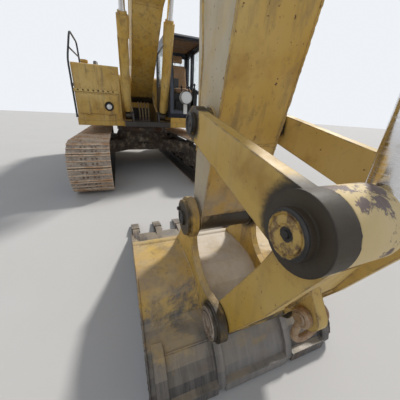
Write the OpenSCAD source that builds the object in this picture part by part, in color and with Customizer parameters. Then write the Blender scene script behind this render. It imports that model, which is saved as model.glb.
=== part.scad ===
/* [Machine] */
// Swing axis behind the middle of the parked machine's length
swing_back = 1603; // [1400:5:1900]
// Gap between faces of running pins, eyes and bosses
run_gap = 5; // [3:1:10]

/* [Tracks] */
// Distance between the middles of the two tracks
track_gauge = 2212; // [2000:2:2600]
// Width of one track shoe
shoe_w = 640; // [500:10:800]
// Distance between the idler and sprocket axles
axle_span = 4160; // [3600:10:4600]
// Outer radius of the shoe plates round the idler
shoe_r = 424; // [400:1:480]
// Height of a grouser bar above its plate
grouser_h = 26; // [15:1:40]
// Number of shoes on one track
shoe_count = 50; // [44:1:58]
// Thickness of a shoe plate
shoe_t = 14; // [10:1:20]
// Depth of the chain under the shoe plates
chain_h = 88; // [70:1:110]
// Width of one chain rail
chain_rail_w = 48; // [36:1:60]
// Gap between the two chain rails
chain_gap = 92; // [70:1:120]
// Number of bottom rollers on one side
roller_count = 8; // [6:1:10]
// Radius of a bottom roller
roller_r = 76; // [60:1:90]
// Width of the track frame beam
track_beam_w = 250; // [200:5:320]

/* [Upper structure] */
// Height of the platform's underside
deck_z = 1085; // [1000:5:1200]
// Thickness of the platform
deck_t = 95; // [80:5:140]
// Half width of the platform
deck_half_w = 1350; // [1250:5:1450]
// Reach of the platform's middle in front of the swing axis
deck_nose_x = 1370; // [1200:5:1500]
// Radius of the tail round the swing axis
tail_r = 2750; // [2500:10:3000]
// Top of the counterweight
tail_z = 2130; // [1900:10:2300]
// Front face of the counterweight behind the swing axis
tail_front = 2020; // [1900:10:2150]
// Top of the tank and of the engine house
tank_z = 2175; // [2000:5:2400]
// Front face of the tank
tank_front = 1160; // [1000:5:1300]
// Inner side of the tank, off the machine's middle
tank_in = 510; // [480:5:650]
// Top of the step over the tool box
step_z = 1745; // [1600:5:1850]
// Sheet thickness of housings and doors
sheet_t = 30; // [20:1:45]

/* [Cab] */
// Inner side of the cab, off the machine's middle
cab_in = 500; // [480:5:560]
// Width of the cab
cab_w = 900; // [850:5:960]
// Front of the cab
cab_front = 1290; // [1100:5:1400]
// Length of the cab
cab_len = 1720; // [1500:10:1900]
// Top of the cab roof
cab_z = 2960; // [2800:10:3100]
// Thickness of the cab's walls and posts
cab_wall = 60; // [45:1:80]
// Height of the cab floor
cab_floor_z = 1290; // [1200:5:1400]
// Thickness of window glass
glass_t = 8; // [5:1:12]

/* [Boom] */
// Boom foot pin in front of the swing axis
foot_x = 150; // [0:5:300]
// Height of the boom foot pin
foot_z = 1720; // [1600:5:1850]
// Boom length from pin to pin
boom_len = 5520; // [5000:10:6000]
// Rise of the line from foot pin to tip pin, degrees
boom_rise = 19.3; // [15:0.1:24]
// Width of the boom box
boom_w = 470; // [420:5:520]
// Bend of the boom, along the line between its pins
knee_along = 2080; // [1900:10:2300]
// Bend of the boom, above the line between its pins
knee_up = 930; // [800:10:1050]
// Half depth of the boom box at its bend
knee_half = 335; // [280:5:400]
// Eye of the boom cylinders, along the line between the boom's pins
boom_eye_along = 2280; // [2200:5:2360]
// Eye of the boom cylinders, above the line between the boom's pins
boom_eye_up = 900; // [850:5:950]
// Foot of the stick cylinder, along the line between the boom's pins
stick_foot_along = 3200; // [3100:5:3300]
// Foot of the stick cylinder, above the line between the boom's pins
stick_foot_up = 1275; // [1240:5:1320]
// Half depth of the boom box near its ends
boom_end_half = 165; // [130:5:200]
// Radius of the boom foot and tip bosses
boom_boss_r = 135; // [110:5:160]

/* [Stick] */
// Stick length from pin to pin
stick_len = 2800; // [2500:10:3100]
// Lean of the stick from upright, degrees
stick_lean = 7.8; // [4:0.1:12]
// Width of the stick box
stick_w = 367; // [320:1:420]
// Width of the stick's nose boss
nose_w = 400; // [360:1:440]
// Radius of the nose boss
nose_r = 100; // [80:1:120]

// Bucket cylinder's foot above the nose pin, along the stick
bracket_up = 2780; // [2740:5:2820]
// Bucket cylinder's foot in front of the line between the stick's pins
bracket_out = 520; // [490:5:550]

/* [Bucket linkage] */
// Link pin above the nose pin, along the stick
link_up = 600; // [550:5:650]
// Link pin in front of the line between the stick's pins
link_out = 52; // [30:1:80]
// Idler link length from pin to pin
link_len = 760; // [720:5:800]
// Power link length from pin to pin
power_len = 880; // [840:5:920]
// Distance between the bucket's two pins
bucket_pins = 620; // [580:5:660]
// Slope of the line between the bucket's two pins, degrees
bucket_slope = 38.5; // [34:0.1:43]
// Thickness of an idler link
link_t = 46; // [35:1:60]

/* [Bucket] */
// Width of the bucket
bucket_w = 1200; // [1000:10:1500]
// Thickness of the bucket's wrapper
wrap_t = 22; // [16:1:30]
// Thickness of a bucket side plate
side_t = 28; // [20:1:40]
// Thickness of a bucket ear
ear_t = 44; // [35:1:60]
// Number of teeth
tooth_count = 5; // [3:1:7]
// Width of a tooth
tooth_w = 92; // [70:1:120]

/* [Cylinders] */
// Distance of a boom cylinder from the machine's middle
boom_cyl_y = 385; // [385:1:390]
// Outer radius of a boom cylinder's tube
boom_cyl_r = 80; // [70:1:85]
// Length of a boom cylinder's tube from its foot pin
boom_cyl_tube = 1770; // [1650:5:1850]
// Boom cylinder foot pin in front of the swing axis
boom_cyl_x = 940; // [900:5:980]
// Height of the boom cylinder foot pin
boom_cyl_z = 1290; // [1280:5:1330]
// Outer radius of the stick and bucket cylinder tubes
arm_cyl_r = 82; // [72:1:90]
// Length of the stick cylinder's tube from its foot pin
stick_cyl_tube = 1900; // [1750:5:2000]
// Length of the bucket cylinder's tube from its foot pin
bucket_cyl_tube = 1480; // [1440:5:1490]
// Rod end inside the boom cylinder, from the foot pin
boom_rod_start = 700; // [650:5:850]
// Rod end inside the stick cylinder, from the foot pin
stick_rod_start = 1130; // [1120:5:1200]
// Rod end inside the bucket cylinder, from the foot pin
bucket_rod_start = 880; // [860:5:900]
// Radius of a polished rod
rod_r = 50; // [40:1:60]

// Pin radius of the cylinders' feet
cyl_pin_r = 44.9; // [35:0.1:50]

/* [Hidden] */
$fn = 48;

yellow = "#c8962e";
steel_grey = "#6b6258";
dark = "#2c2a28";
post_blue = "#39414f";
chrome = "#c9ccd0";
seat_tan = "#8a5c34";

function dir(a) = [cos(a), sin(a)];
function rot2(p, a) = [p.x * cos(a) - p.y * sin(a), p.x * sin(a) + p.y * cos(a)];
function angle_of(v) = atan2(v.y, v.x);
// Point where circles about p and q meet, on the left of the way from p to q
function meet(p, rp, q, rq) =
  let (d = norm(q - p), a = (rp * rp - rq * rq + d * d) / (2 * d), h = sqrt(rp * rp - a * a),
       e = (q - p) / d)
  p + a * e + h * [-e.y, e.x];

// Pins in the upright fore-and-aft plane, from the swing axis and the ground
foot = [foot_x, foot_z];
tip = foot + boom_len * dir(boom_rise);
stick_up = [sin(stick_lean), cos(stick_lean)];
stick_out = [cos(stick_lean), -sin(stick_lean)];
nose = tip - stick_len * stick_up;
link_pin = nose + link_up * stick_up + link_out * stick_out;
bucket_pin = nose + bucket_pins * dir(-bucket_slope);
knuckle = meet(link_pin, link_len, bucket_pin, power_len);
boom_cyl_foot = [boom_cyl_x, boom_cyl_z];
boom_eye = foot + rot2([boom_eye_along, boom_eye_up], boom_rise);
stick_cyl_foot = foot + rot2([stick_foot_along, stick_foot_up], boom_rise);
stick_eye = tip + 820 * dir(60);
bucket_cyl_foot = nose + bracket_up * stick_up + bracket_out * stick_out;

// Places the children at the swing axis
module at_swing() translate([-swing_back, 0, 0]) children();
// Extrudes an outline of the fore-and-aft plane to width w about y
module slab(w, y = 0) translate([0, y + w / 2, 0]) rotate([90, 0, 0]) linear_extrude(w) children();
// Cylinder across the machine at a point of the fore-and-aft plane
module crosswise(p, r, w, y = 0)
  translate([p.x, y + w / 2, p.y]) rotate([90, 0, 0]) cylinder(r = r, h = w);
// Cylinder between two points of the fore-and-aft plane, at y
module along(p, q, r, y = 0)
  translate([p.x, y, p.y]) rotate([0, 90 - angle_of(q - p), 0]) cylinder(r = r, h = norm(q - p));
// Outline of a bar with round ends of two radii
module bar(p, q, rp, rq) {
  d = norm(q - p);
  a = acos((rp - rq) / d);
  t = angle_of(q - p);
  translate(p) circle(rp);
  translate(q) circle(rq);
  polygon([p + (rp - flat_in) * dir(t + a), p + (rp - flat_in) * dir(t - a),
    q + (rq - flat_in) * dir(t - a), q + (rq - flat_in) * dir(t + a)]);
}
// Depth of a bar's flat sides inside its round ends
flat_in = 0.3;
// Copies the children to both sides of the machine
module both_sides() { children(); mirror([0, 1, 0]) children(); }
// Knuckles of a hinge of height h at the heights zs, each with its leaf towards the side lead
module hinge_half(zs, h, lead, s) for (z = zs) translate([0, 0, z]) {
  cylinder(r = hinge_r, h = h);
  block([min(0, lead * leaf_w), min(-s * (hinge_off + 2), -s * (hinge_off - 8)), 0],
    [max(0, lead * leaf_w), max(-s * (hinge_off + 2), -s * (hinge_off - 8)), h]);
}
hinge_r = 11;
leaf_w = 33;
hinge_off = 12;
// Gap at a face that rests on another
seat_gap = 0.3;
// Box given by two corners
module block(a, b) translate(a) cube(b - a);

// Tracks

axle_half = axle_span / 2;
axle_z = shoe_r + grouser_h;
arc_len = PI * shoe_r;
loop_len = 2 * axle_span + 2 * arc_len;
shoe_pitch = loop_len / shoe_count;

// Point of the loop at path length s, raised by h off the shoe plates
function loop_at(s, h) =
  let (m = s - loop_len * floor(s / loop_len))
  m < axle_span ? [axle_half - m, axle_z + shoe_r + h]
  : m < axle_span + arc_len ?
    [-axle_half, axle_z] + (shoe_r + h) * dir(90 + (m - axle_span) / arc_len * 180)
  : m < 2 * axle_span + arc_len ? [-axle_half + m - axle_span - arc_len, axle_z - shoe_r - h]
  : [axle_half, axle_z] + (shoe_r + h) * dir(270 + (m - 2 * axle_span - arc_len) / arc_len * 180);

// One shoe's outline: share of the pitch, share of the grouser height
shoe_shape = [[0.03, 0], [0.05, 1], [0.12, 1], [0.16, 0], [0.44, 0], [0.47, 0.85], [0.53, 0.85],
  [0.56, 0], [0.84, 0], [0.88, 1], [0.95, 1], [0.97, 0], [1, -0.45]];
shoe_points = [for (i = [0:shoe_count - 1]) for (q = shoe_shape)
  loop_at((i + q[0] + 0.25) * shoe_pitch, q[1] * grouser_h)];
// Points of a plain loop, depth h under the shoe plates
function plain_loop(h, n = 10) = concat(
  [for (i = [0:n]) [-axle_half, axle_z] + (shoe_r - h) * dir(90 + 180 * i / n)],
  [for (i = [0:n]) [axle_half, axle_z] + (shoe_r - h) * dir(270 + 180 * i / n)]);

module track(side) {
  y = side * track_gauge / 2;
  slab(shoe_w, y) difference() {
    polygon(shoe_points);
    polygon(plain_loop(shoe_t));
  }
  for (s = [-1, 1])
    slab(chain_rail_w, y + s * (chain_gap + chain_rail_w) / 2) difference() {
      polygon(plain_loop(shoe_t));
      polygon(plain_loop(shoe_t + chain_h));
    }
}
module track_left() color(steel_grey) at_swing() track(1);
module track_right() color(steel_grey) at_swing() track(-1);

wheel_r = (shoe_r - shoe_t - chain_h) * cos(9) - 0.4;
wheel_w = chain_gap + 2 * chain_rail_w;
axle_r = 42;
yoke_in = wheel_w / 2 + seat_gap;

module idler(side) translate([axle_half, side * track_gauge / 2, axle_z]) rotate([90, 0, 0]) {
  difference() {
    cylinder(r = wheel_r, h = wheel_w - 16, center = true);
    for (s = [-1, 1]) translate([0, 0, s * 78]) cylinder(r = wheel_r - 62, h = 70, center = true);
  }
  cylinder(r = wheel_r + 26, h = chain_gap - 12, center = true);
  cylinder(r = 105, h = wheel_w, center = true);
  for (a = [0:60:300]) rotate(a) translate([100, -12, -70]) cube([wheel_r - 150, 24, 140]);
}
module idler_left() color(steel_grey) at_swing() idler(1);
module idler_right() color(steel_grey) at_swing() idler(-1);

tooth_n = 21;
module sprocket(side) translate([-axle_half, side * track_gauge / 2, axle_z]) rotate([90, 0, 0]) {
  linear_extrude(chain_gap - 14, center = true) polygon([for (i = [0:tooth_n - 1])
    for (q = [[0.18, 0], [0.36, 34], [0.64, 34], [0.82, 0]])
      (wheel_r - 8 + q[1]) * dir(360 * (i + q[0]) / tooth_n)]);
  cylinder(r = 235, h = 200, center = true);
  translate([0, 0, -side * 150]) cylinder(r = 190, h = 120, center = true);
  translate([0, 0, -side * 205]) cylinder(r = 150, h = 40, center = true);
}
module sprocket_left() color(steel_grey) at_swing() sprocket(1);
module sprocket_right() color(steel_grey) at_swing() sprocket(-1);

beam_low = shoe_t + chain_h + grouser_h + 110;
module track_frame(side) {
  y = side * track_gauge / 2;
  // Beam between the idler and the final drive
  slab(track_beam_w, y) polygon([[-axle_half + 380, 235], [axle_half - 420, 235],
    [axle_half - 380, 300], [axle_half - 380, 560], [axle_half - 560, 640],
    [-axle_half + 520, 690], [-axle_half + 380, 610]]);
  // Yoke arms and axle of the idler
  for (s = [-1, 1]) slab(26, y + s * (yoke_in + 13)) union() {
    bar([axle_half, axle_z], [axle_half - 420, axle_z - 20], 74, 105);
  }
  // Rollers on their axles
  for (i = [0:roller_count - 1]) {
    x = -axle_half + 480 + i * (axle_span - 1000) / (roller_count - 1);
    z = grouser_h + shoe_t + chain_h + roller_r + 0.4;
    crosswise([x, z], roller_r, wheel_w - 8, y);
    slab(wheel_w + 34, y) bar([x, z], [x, 260], 30, 44);
  }
  // Carrier rollers
  for (x = [-axle_half * 0.38, axle_half * 0.42]) {
    z = axle_z + shoe_r - shoe_t - chain_h - 62.4;
    crosswise([x, z], 62, wheel_w - 8, y);
    slab(60, y) bar([x, z], [x, 620], 34, 60);
  }
  // Guard plates of the bottom rollers
  for (s = [-1, 1]) for (x = [-axle_half * 0.45, axle_half * 0.4])
    slab(14, y + s * (wheel_w / 2 + 14)) polygon([[x - 260, 130], [x + 260, 130], [x + 230, 250],
      [x - 230, 250]]);
  // Arm that holds the final drive
  slab(90, y - side * (100 + seat_gap + 45)) bar([-axle_half, axle_z], [-axle_half + 420, axle_z - 30], 170, 150);
}
module track_frame_left() color(dark) at_swing() track_frame(1);
module track_frame_right() color(dark) at_swing() track_frame(-1);

body_top = deck_z - 145;
frame_in = track_gauge / 2 - track_beam_w / 2;
module car_body() color(dark) at_swing() {
  // Four legs and the plates between them
  translate([0, 0, 470]) linear_extrude(270) difference() {
    polygon([[-520, -430], [-1180, -frame_in], [-640, -frame_in], [0, -560], [640, -frame_in],
      [1180, -frame_in], [520, -430], [520, 430], [1180, frame_in], [640, frame_in], [0, 560],
      [-640, frame_in], [-1180, frame_in], [-520, 430]]);
    circle(170);
  }
  // Drum under the slew ring
  difference() {
    translate([0, 0, 700]) cylinder(r1 = 720, r2 = 610, h = body_top - 700);
    translate([0, 0, 460]) cylinder(r = 170, h = 700);
  }
  // Centre swivel and its guard
  translate([0, 0, 500]) cylinder(r = 120, h = 420);
  translate([0, 0, 500]) cylinder(r = 240, h = 40);
}
module slew_ring() color(steel_grey) at_swing() difference() {
  union() {
    translate([0, 0, body_top + 0.3]) cylinder(r = 640, h = 75);
    translate([0, 0, body_top + 75]) cylinder(r = 600, h = deck_z - body_top - 75.6);
  }
  translate([0, 0, body_top]) cylinder(r = 440, h = 300);
}

// Upper structure

deck_top = deck_z + deck_t;
boom_flare = 20;
beam_in = boom_w / 2 + boom_flare + run_gap;
beam_t = 40;
module platform() color(yellow) at_swing() {
  difference() {
    translate([0, 0, deck_z]) linear_extrude(deck_t) polygon([
      [-tail_front + seat_gap, -deck_half_w + 120], [-1700, -deck_half_w], [tank_front + 30, -deck_half_w],
      [tank_front + 30, -tank_in + 10], [deck_nose_x, -tank_in + 30], [deck_nose_x, cab_in - 30],
      [cab_front + 50, cab_in], [cab_front + 50, deck_half_w + 40], [-1700, deck_half_w + 40],
      [-tail_front + seat_gap, deck_half_w - 80]]);
    translate([0, 0, deck_z - 10]) cylinder(r = 240, h = 300);
  }
  // Twin plates that carry the boom foot and the boom cylinders
  for (s = [-1, 1]) slab(beam_t, s * (beam_in + beam_t / 2)) union() {
    polygon([[-620, deck_top - 20], [-620, deck_top + 200], [foot.x - 320, foot.y - 60],
      [foot.x - 100, foot.y + 60], [foot.x + 100, foot.y + 60], [foot.x + 330, foot.y - 190],
      [boom_cyl_foot.x - 90, boom_cyl_foot.y + 90], [boom_cyl_foot.x + 95, boom_cyl_foot.y + 30],
      [boom_cyl_foot.x + 150, deck_top - 20]]);
    translate(foot) circle(boom_boss_r);
    translate(boom_cyl_foot) circle(100);
  }
  // Boom foot pin and its caps
  crosswise(foot, 54.95, 2 * (beam_in + beam_t) + 40);
  // Boom cylinder pins
  for (s = [-1, 1]) {
    crosswise(boom_cyl_foot, cyl_pin_r, 160, s * (beam_in + beam_t + 60));
    crosswise(boom_cyl_foot, 78, 30, s * (beam_in + beam_t + 15));
  }
  // Engine bearers and cross plate behind the boom foot
  block([-560, -beam_in, deck_top - 20], [-520, beam_in, deck_top + 300]);
  for (s = [-1, 1]) block([-1440, s * 560 - 60, deck_top - 20], [-900, s * 560 + 60, deck_top + 80]);
  // Skirt and bearers under the cab
  block([cab_front - 40, cab_in + 5, deck_top - 20], [cab_front - 12, cab_out - 5, cab_floor_z - seat_gap]);
  for (x = [-300, 1120]) for (y = [cab_in + 90, cab_in + cab_w - 90])
    translate([x, y, deck_top - 20]) cylinder(r = 55, h = cab_floor_z - deck_top + 20 - seat_gap);
}

cw_low = deck_z + 20;
module counterweight() color(yellow) at_swing() intersection() {
  rotate_extrude($fn = 96) polygon([[1000, cw_low], [tail_r - 170, cw_low], [tail_r, cw_low + 190],
    [tail_r, tail_z - 210], [tail_r - 40, tail_z - 90], [tail_r - 150, tail_z], [1000, tail_z]]);
  translate([0, 0, cw_low - 10]) linear_extrude(tail_z) difference() {
    polygon([[-tail_front, -deck_half_w - 15], [-tail_front, deck_half_w + 15],
      [-tail_front - 250, deck_half_w + 15], [-3200, 900], [-3200, -900],
      [-tail_front - 250, -deck_half_w - 15]]);
    for (s = [-1, 1]) translate([-tail_r - 8, s * 480]) circle(60);
  }
}

house_front = -640;
house_back = -tail_front + seat_gap;
house_z = tank_z;
module engine_block() color(dark) at_swing()
  block([-1800, -620, deck_top + 80.3], [-1010, 620, 1960]);

module engine_house() color(yellow) at_swing() {
  // Front wall behind the cab and the tank
  block([house_front - sheet_t, -deck_half_w, deck_top], [house_front, deck_half_w, house_z]);
  // Rear frame in front of the counterweight
  difference() {
    block([house_back, -deck_half_w, deck_top], [house_back + sheet_t, deck_half_w, house_z]);
    block([house_back - 5, -1000, deck_top + 60], [house_back + 99, 1000, house_z - 200]);
  }
  // Sills and top side rails round the doors
  for (s = [-1, 1]) {
    y = s * (deck_half_w - sheet_t / 2);
    block([house_back, y - sheet_t / 2, deck_top], [house_front, y + sheet_t / 2, deck_top + 70]);
    block([house_back, y - sheet_t / 2, house_z - 70], [house_front, y + sheet_t / 2, house_z]);
  }
  // Top deck with the opening under the hood
  difference() {
    block([house_back, -deck_half_w, house_z - sheet_t], [house_front, deck_half_w, house_z]);
    block([hood_back + 60, -hood_half + 60, house_z - 99], [hood_front - 60, hood_half - 60, house_z + 9]);
  }
  // Cooler core on the left
  block([-1960, 860, deck_top], [-760, 940, house_z - 120]);
  // Frame halves of the hinges of both doors and of the hood
  for (s = [-1, 1]) translate([door_back - 6, s * (deck_half_w + hinge_off), 0])
    hinge_half([for (z = door_hinges) each [z - 40 - seat_gap, z + 60 + seat_gap]], 40, -1, s);
  for (y = [-600, 560]) translate([hood_hinge.x, y, hood_hinge.y]) rotate([90, 0, 0]) {
    cylinder(r = hinge_r, h = 40, center = true);
    block([0, -hinge_r - 4, -20], [45, 0, 20]);
  }
}
door_hinges = [1400, 1900];
door_front = house_front - sheet_t - 12;
door_back = house_back + sheet_t + 12;
door_low = deck_top + 76;
door_high = house_z - 76;
louvre_n = 9;
module side_door(s) {
  y = s * (deck_half_w - sheet_t / 2);
  difference() {
    block([door_back, y - sheet_t / 2, door_low], [door_front, y + sheet_t / 2, door_high]);
    // Pressed panel
    block([door_back + 70, y + s * (sheet_t / 2 - 8) - 8, door_low + 70],
      [door_front - 70, y + s * (sheet_t / 2 - 8) + 8 + (s > 0 ? 20 : 0), door_high - 60]);
    // Louvres
    for (i = [0:louvre_n - 1])
      block([door_back + 180, y - 60, door_low + 200 + i * 58],
        [door_back + 620, y + 60, door_low + 224 + i * 58]);
  }
  translate([door_back - 6, s * (deck_half_w + hinge_off), 0]) hinge_half(door_hinges, 60, 1, s);
  // Handle
  slab_y = [y - s * 2, y + s * (sheet_t / 2 + 14)];
  block([door_front - 150, min(slab_y), 1600], [door_front - 90, max(slab_y), 1680]);
}
module side_door_left() color(yellow) at_swing() side_door(1);
module side_door_right() color(yellow) at_swing() side_door(-1);

hood_front = -780;
hood_back = -1960;
hood_half = 860;
hood_z = house_z + 120;
hood_hinge = [hood_front + 13, house_z + 13];
module engine_hood() color(yellow) at_swing() {
  difference() {
    slab(2 * hood_half) polygon([[hood_back, house_z + seat_gap], [hood_front, house_z + seat_gap],
      [hood_front, house_z + 70], [hood_front - 70, hood_z], [hood_back + 60, hood_z],
      [hood_back, house_z + 80]]);
    slab(2 * hood_half - 2 * sheet_t) polygon([[hood_back + sheet_t, house_z - 9],
      [hood_front - sheet_t, house_z - 9], [hood_front - sheet_t, house_z + 60],
      [hood_front - 80, hood_z - sheet_t], [hood_back + 70, hood_z - sheet_t],
      [hood_back + sheet_t, house_z + 70]]);
    for (i = [0:5]) block([hood_back + 260 + i * 70, -420, hood_z - 60],
      [hood_back + 290 + i * 70, 420, hood_z + 20]);
  }
  // Hood halves of its hinges
  for (y = [-559, 601]) translate([hood_hinge.x, y, hood_hinge.y]) rotate([90, 0, 0]) {
    cylinder(r = hinge_r, h = 40, center = true);
    block([-20, 0, -20], [0, hinge_r, 20]);
  }
}
module exhaust_stack() color(dark) at_swing() translate([-1500, -1060, house_z + 0.3]) difference() {
  union() {
    cylinder(r = 95, h = 60);
    cylinder(r = 62, h = 330);
    translate([0, 0, 330]) rotate([0, -35, 0]) translate([0, 0, -30]) cylinder(r = 62, h = 190);
  }
  translate([0, 0, 330]) rotate([0, -35, 0]) translate([0, 0, 60]) cylinder(r = 54, h = 190);
}

// Tank, tool box and step on the right

tank_back = house_front + 6;
box_front = tank_front + 28;
filler = [tank_front - 400, -deck_half_w + 220];
lid_lamp_y = -tank_in - 235;
lid_hinge_y = [-deck_half_w + 190, -tank_in - 250];
module fuel_tank() color(yellow) at_swing() {
  difference() {
    union() {
      // Tank with its rounded top edges
      slab(deck_half_w - tank_in - 20, -(deck_half_w + tank_in - 20) / 2) union() {
        polygon([[tank_back, deck_top], [tank_front, deck_top], [tank_front, tank_z - 45],
          [tank_front - 45, tank_z], [tank_back, tank_z]]);
        translate([tank_front - 45, tank_z - 45]) circle(45);
      }
      // Tool box under the step
      block([tank_front - 60, -deck_half_w + 20, deck_top], [box_front, -tank_in - 40, step_z - 55]);
      // Filler neck and cap
      translate([filler.x, filler.y, tank_z - 20]) cylinder(r = 58, h = 95);
      translate([filler.x, filler.y, tank_z + 70]) cylinder(r = 70, h = 40);
    }
    // Room behind the tool box lid
    block([box_front - 60, -deck_half_w + 70, deck_top + 150], [box_front + 20, -tank_in - 90, step_z - 110]);
    // Parting groove between the tank and the pump cover
    block([120, -deck_half_w - 20, deck_top + 60], [135, -tank_in + 30, tank_z + 20]);
  }
  // Step over the tool box
  difference() {
    block([tank_front - 20, -deck_half_w + 10, step_z - 55], [box_front + 26, -tank_in - 30, step_z]);
    for (i = [0:7]) translate([box_front + 10, -deck_half_w + 85 + i * 88, step_z - 27])
      rotate([0, 90, 0]) cylinder(r = 15, h = 40, center = true);
    block([tank_front + 4, -deck_half_w + 40, step_z - 70], [box_front + 12, -tank_in - 60, step_z - 12]);
  }
  // Box halves of the lid's hinges
  for (y = lid_hinge_y) translate([lid_hinge.x, y, lid_hinge.y]) rotate([90, 0, 0]) {
    cylinder(r = 9, h = 40, center = true);
    block([-40, -9, -20], [0, 0, 20]);
  }
  // Fender sill under the tool box
  block([tank_front - 200, -deck_half_w, deck_top], [box_front + 10, -tank_in, deck_top + 36]);
}
lid_low = deck_top + 130;
lid_high = step_z - 90;
lid_hinge = [box_front + 27, lid_low - 13];
module tool_box_lid() color(yellow) at_swing() {
  difference() {
    block([box_front + 1, -deck_half_w + 50, lid_low], [box_front + 23, -tank_in - 70, lid_high]);
    translate([box_front + 20, lid_lamp_y, (lid_low + lid_high) / 2 - 30]) rotate([0, 90, 0])
      cylinder(r = 88, h = 60, center = true);
  }
  // Lid halves of its hinges
  for (y = lid_hinge_y) translate([lid_hinge.x, y + 41, lid_hinge.y]) rotate([90, 0, 0]) {
    cylinder(r = 9, h = 40, center = true);
    block([-7, 0, -20], [0, 40, 20]);
  }
}
module head_lamp() color("white") at_swing()
  translate([box_front - 60 + 0.3, lid_lamp_y, (lid_low + lid_high) / 2 - 30]) rotate([0, 90, 0]) difference() {
    union() {
      cylinder(r = 62, h = 56);
      cylinder(r = 76, h = 40);
    }
    translate([0, 0, 50]) cylinder(r = 52, h = 20);
  }

rail_r = 17;
function unit(v) = v / norm(v);
// Rounds each inner corner of a path with three points, each corner starting cut before it
function rounded(points, cut) = concat([points[0]],
  [for (i = [1:len(points) - 2])
    let (p = points[i], a = p + unit(points[i - 1] - p) * min(cut, norm(points[i - 1] - p) * 0.45),
         b = p + unit(points[i + 1] - p) * min(cut, norm(points[i + 1] - p) * 0.45))
    each [a, (a + 2 * p + b) / 4, b]],
  [points[len(points) - 1]]);
// Bent tube of n sides swept along a path that never runs straight across the machine
module tube_run(path, r, n = 10) {
  last = len(path) - 1;
  rings = [for (i = [0:last])
    let (t = unit(path[min(i + 1, last)] - path[max(i - 1, 0)]), b = unit([0, 1, 0] - t.y * t), c = cross(t, b))
    for (k = [0:n - 1]) path[i] + r * (cos(360 * k / n) * b + sin(360 * k / n) * c)];
  polyhedron(rings, concat([[for (k = [0:n - 1]) k]],
    [for (i = [0:last - 1]) for (k = [0:n - 1]) let (m = (k + 1) % n)
      [i * n + k, (i + 1) * n + k, (i + 1) * n + m, i * n + m]],
    [[for (k = [n - 1:-1:0]) last * n + k]]));
}
module handrails() color(dark) at_swing() {
  // Loop at the right front corner
  tube_run(rounded([[tank_front - 40, rail_y, deck_top + 70], [tank_front - 40, rail_y, tank_z + 40],
    [tank_front - 90, rail_in - 10, rail_top], [rail_end - 10, rail_in - 10, rail_top],
    [rail_end, rail_in, tank_z + 6]], 90), rail_r);
  tube_run([[tank_front - 61, rail_in - 55, rail_mid], [rail_end - 4, rail_in - 4, rail_mid]], rail_r - 2);
  translate([rail_end, rail_in, tank_z + seat_gap]) cylinder(r = 45, h = 12);
  for (z = [deck_top + 70, step_z + 60])
    block([tank_front - 65, rail_y - 15, z - 25], [tank_front - 15, -deck_half_w + 19.7, z + 25]);
}
rail_y = -deck_half_w - 12;
rail_in = -deck_half_w + 90;
rail_end = tank_front - 860;
rail_top = tank_z + 485;
rail_mid = tank_z + 225;

// Cab

cab_mid = cab_in + cab_w / 2;
cab_back = cab_front - cab_len;
cab_side = [[cab_back, cab_floor_z], [cab_front - 60, cab_floor_z], [cab_front, cab_floor_z + 90],
  [cab_front, cab_floor_z + 620], [cab_front - 210, cab_z - 150], [cab_front - 330, cab_z - 30],
  [cab_front - 460, cab_z], [cab_back + 90, cab_z], [cab_back, cab_z - 120]];
cab_room = [[cab_back + cab_wall, cab_floor_z + cab_wall],
  [cab_front - 60, cab_floor_z + cab_wall], [cab_front - cab_wall, cab_floor_z + 110],
  [cab_front - cab_wall, cab_floor_z + 610], [cab_front - 260, cab_z - 170],
  [cab_front - 360, cab_z - 90], [cab_front - 470, cab_z - cab_wall],
  [cab_back + 110, cab_z - cab_wall], [cab_back + cab_wall, cab_z - 140]];
// Opening of the door in the left wall
door_shape = [[cab_back + 520, cab_floor_z + 40], [cab_front - 110, cab_floor_z + 40],
  [cab_front - 70, cab_floor_z + 90], [cab_front - 70, cab_floor_z + 600],
  [cab_front - 265, cab_z - 200], [cab_front - 370, cab_z - 110], [cab_back + 520, cab_z - 110]];
door_cut = [[cab_back + 506, cab_floor_z + 26], [cab_front - 104, cab_floor_z + 26],
  [cab_front - 56, cab_floor_z + 84], [cab_front - 56, cab_floor_z + 603],
  [cab_front - 252, cab_z - 193], [cab_front - 364, cab_z - 96], [cab_back + 506, cab_z - 96]];
door_window = [[cab_back + 590, cab_floor_z + 640], [cab_front - 150, cab_floor_z + 640],
  [cab_front - 325, cab_z - 230], [cab_front - 400, cab_z - 180], [cab_back + 590, cab_z - 180]];
door_low_window = [[cab_back + 600, cab_floor_z + 130], [cab_front - 160, cab_floor_z + 130],
  [cab_front - 150, cab_floor_z + 560], [cab_back + 600, cab_floor_z + 560]];
rear_side_window = [[cab_back + 120, cab_floor_z + 720], [cab_back + 440, cab_floor_z + 720],
  [cab_back + 440, cab_z - 180], [cab_back + 120, cab_z - 180]];
right_window = [[cab_back + 120, cab_floor_z + 720], [cab_front - 240, cab_floor_z + 720],
  [cab_front - 330, cab_z - 230], [cab_front - 400, cab_z - 180], [cab_back + 120, cab_z - 180]];
cab_out = cab_in + cab_w;
// Front opening, seen from the front
front_low = cab_floor_z + 160;
front_high = cab_z - 160;
rear_low = cab_floor_z + 800;
rear_high = cab_z - 190;

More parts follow.
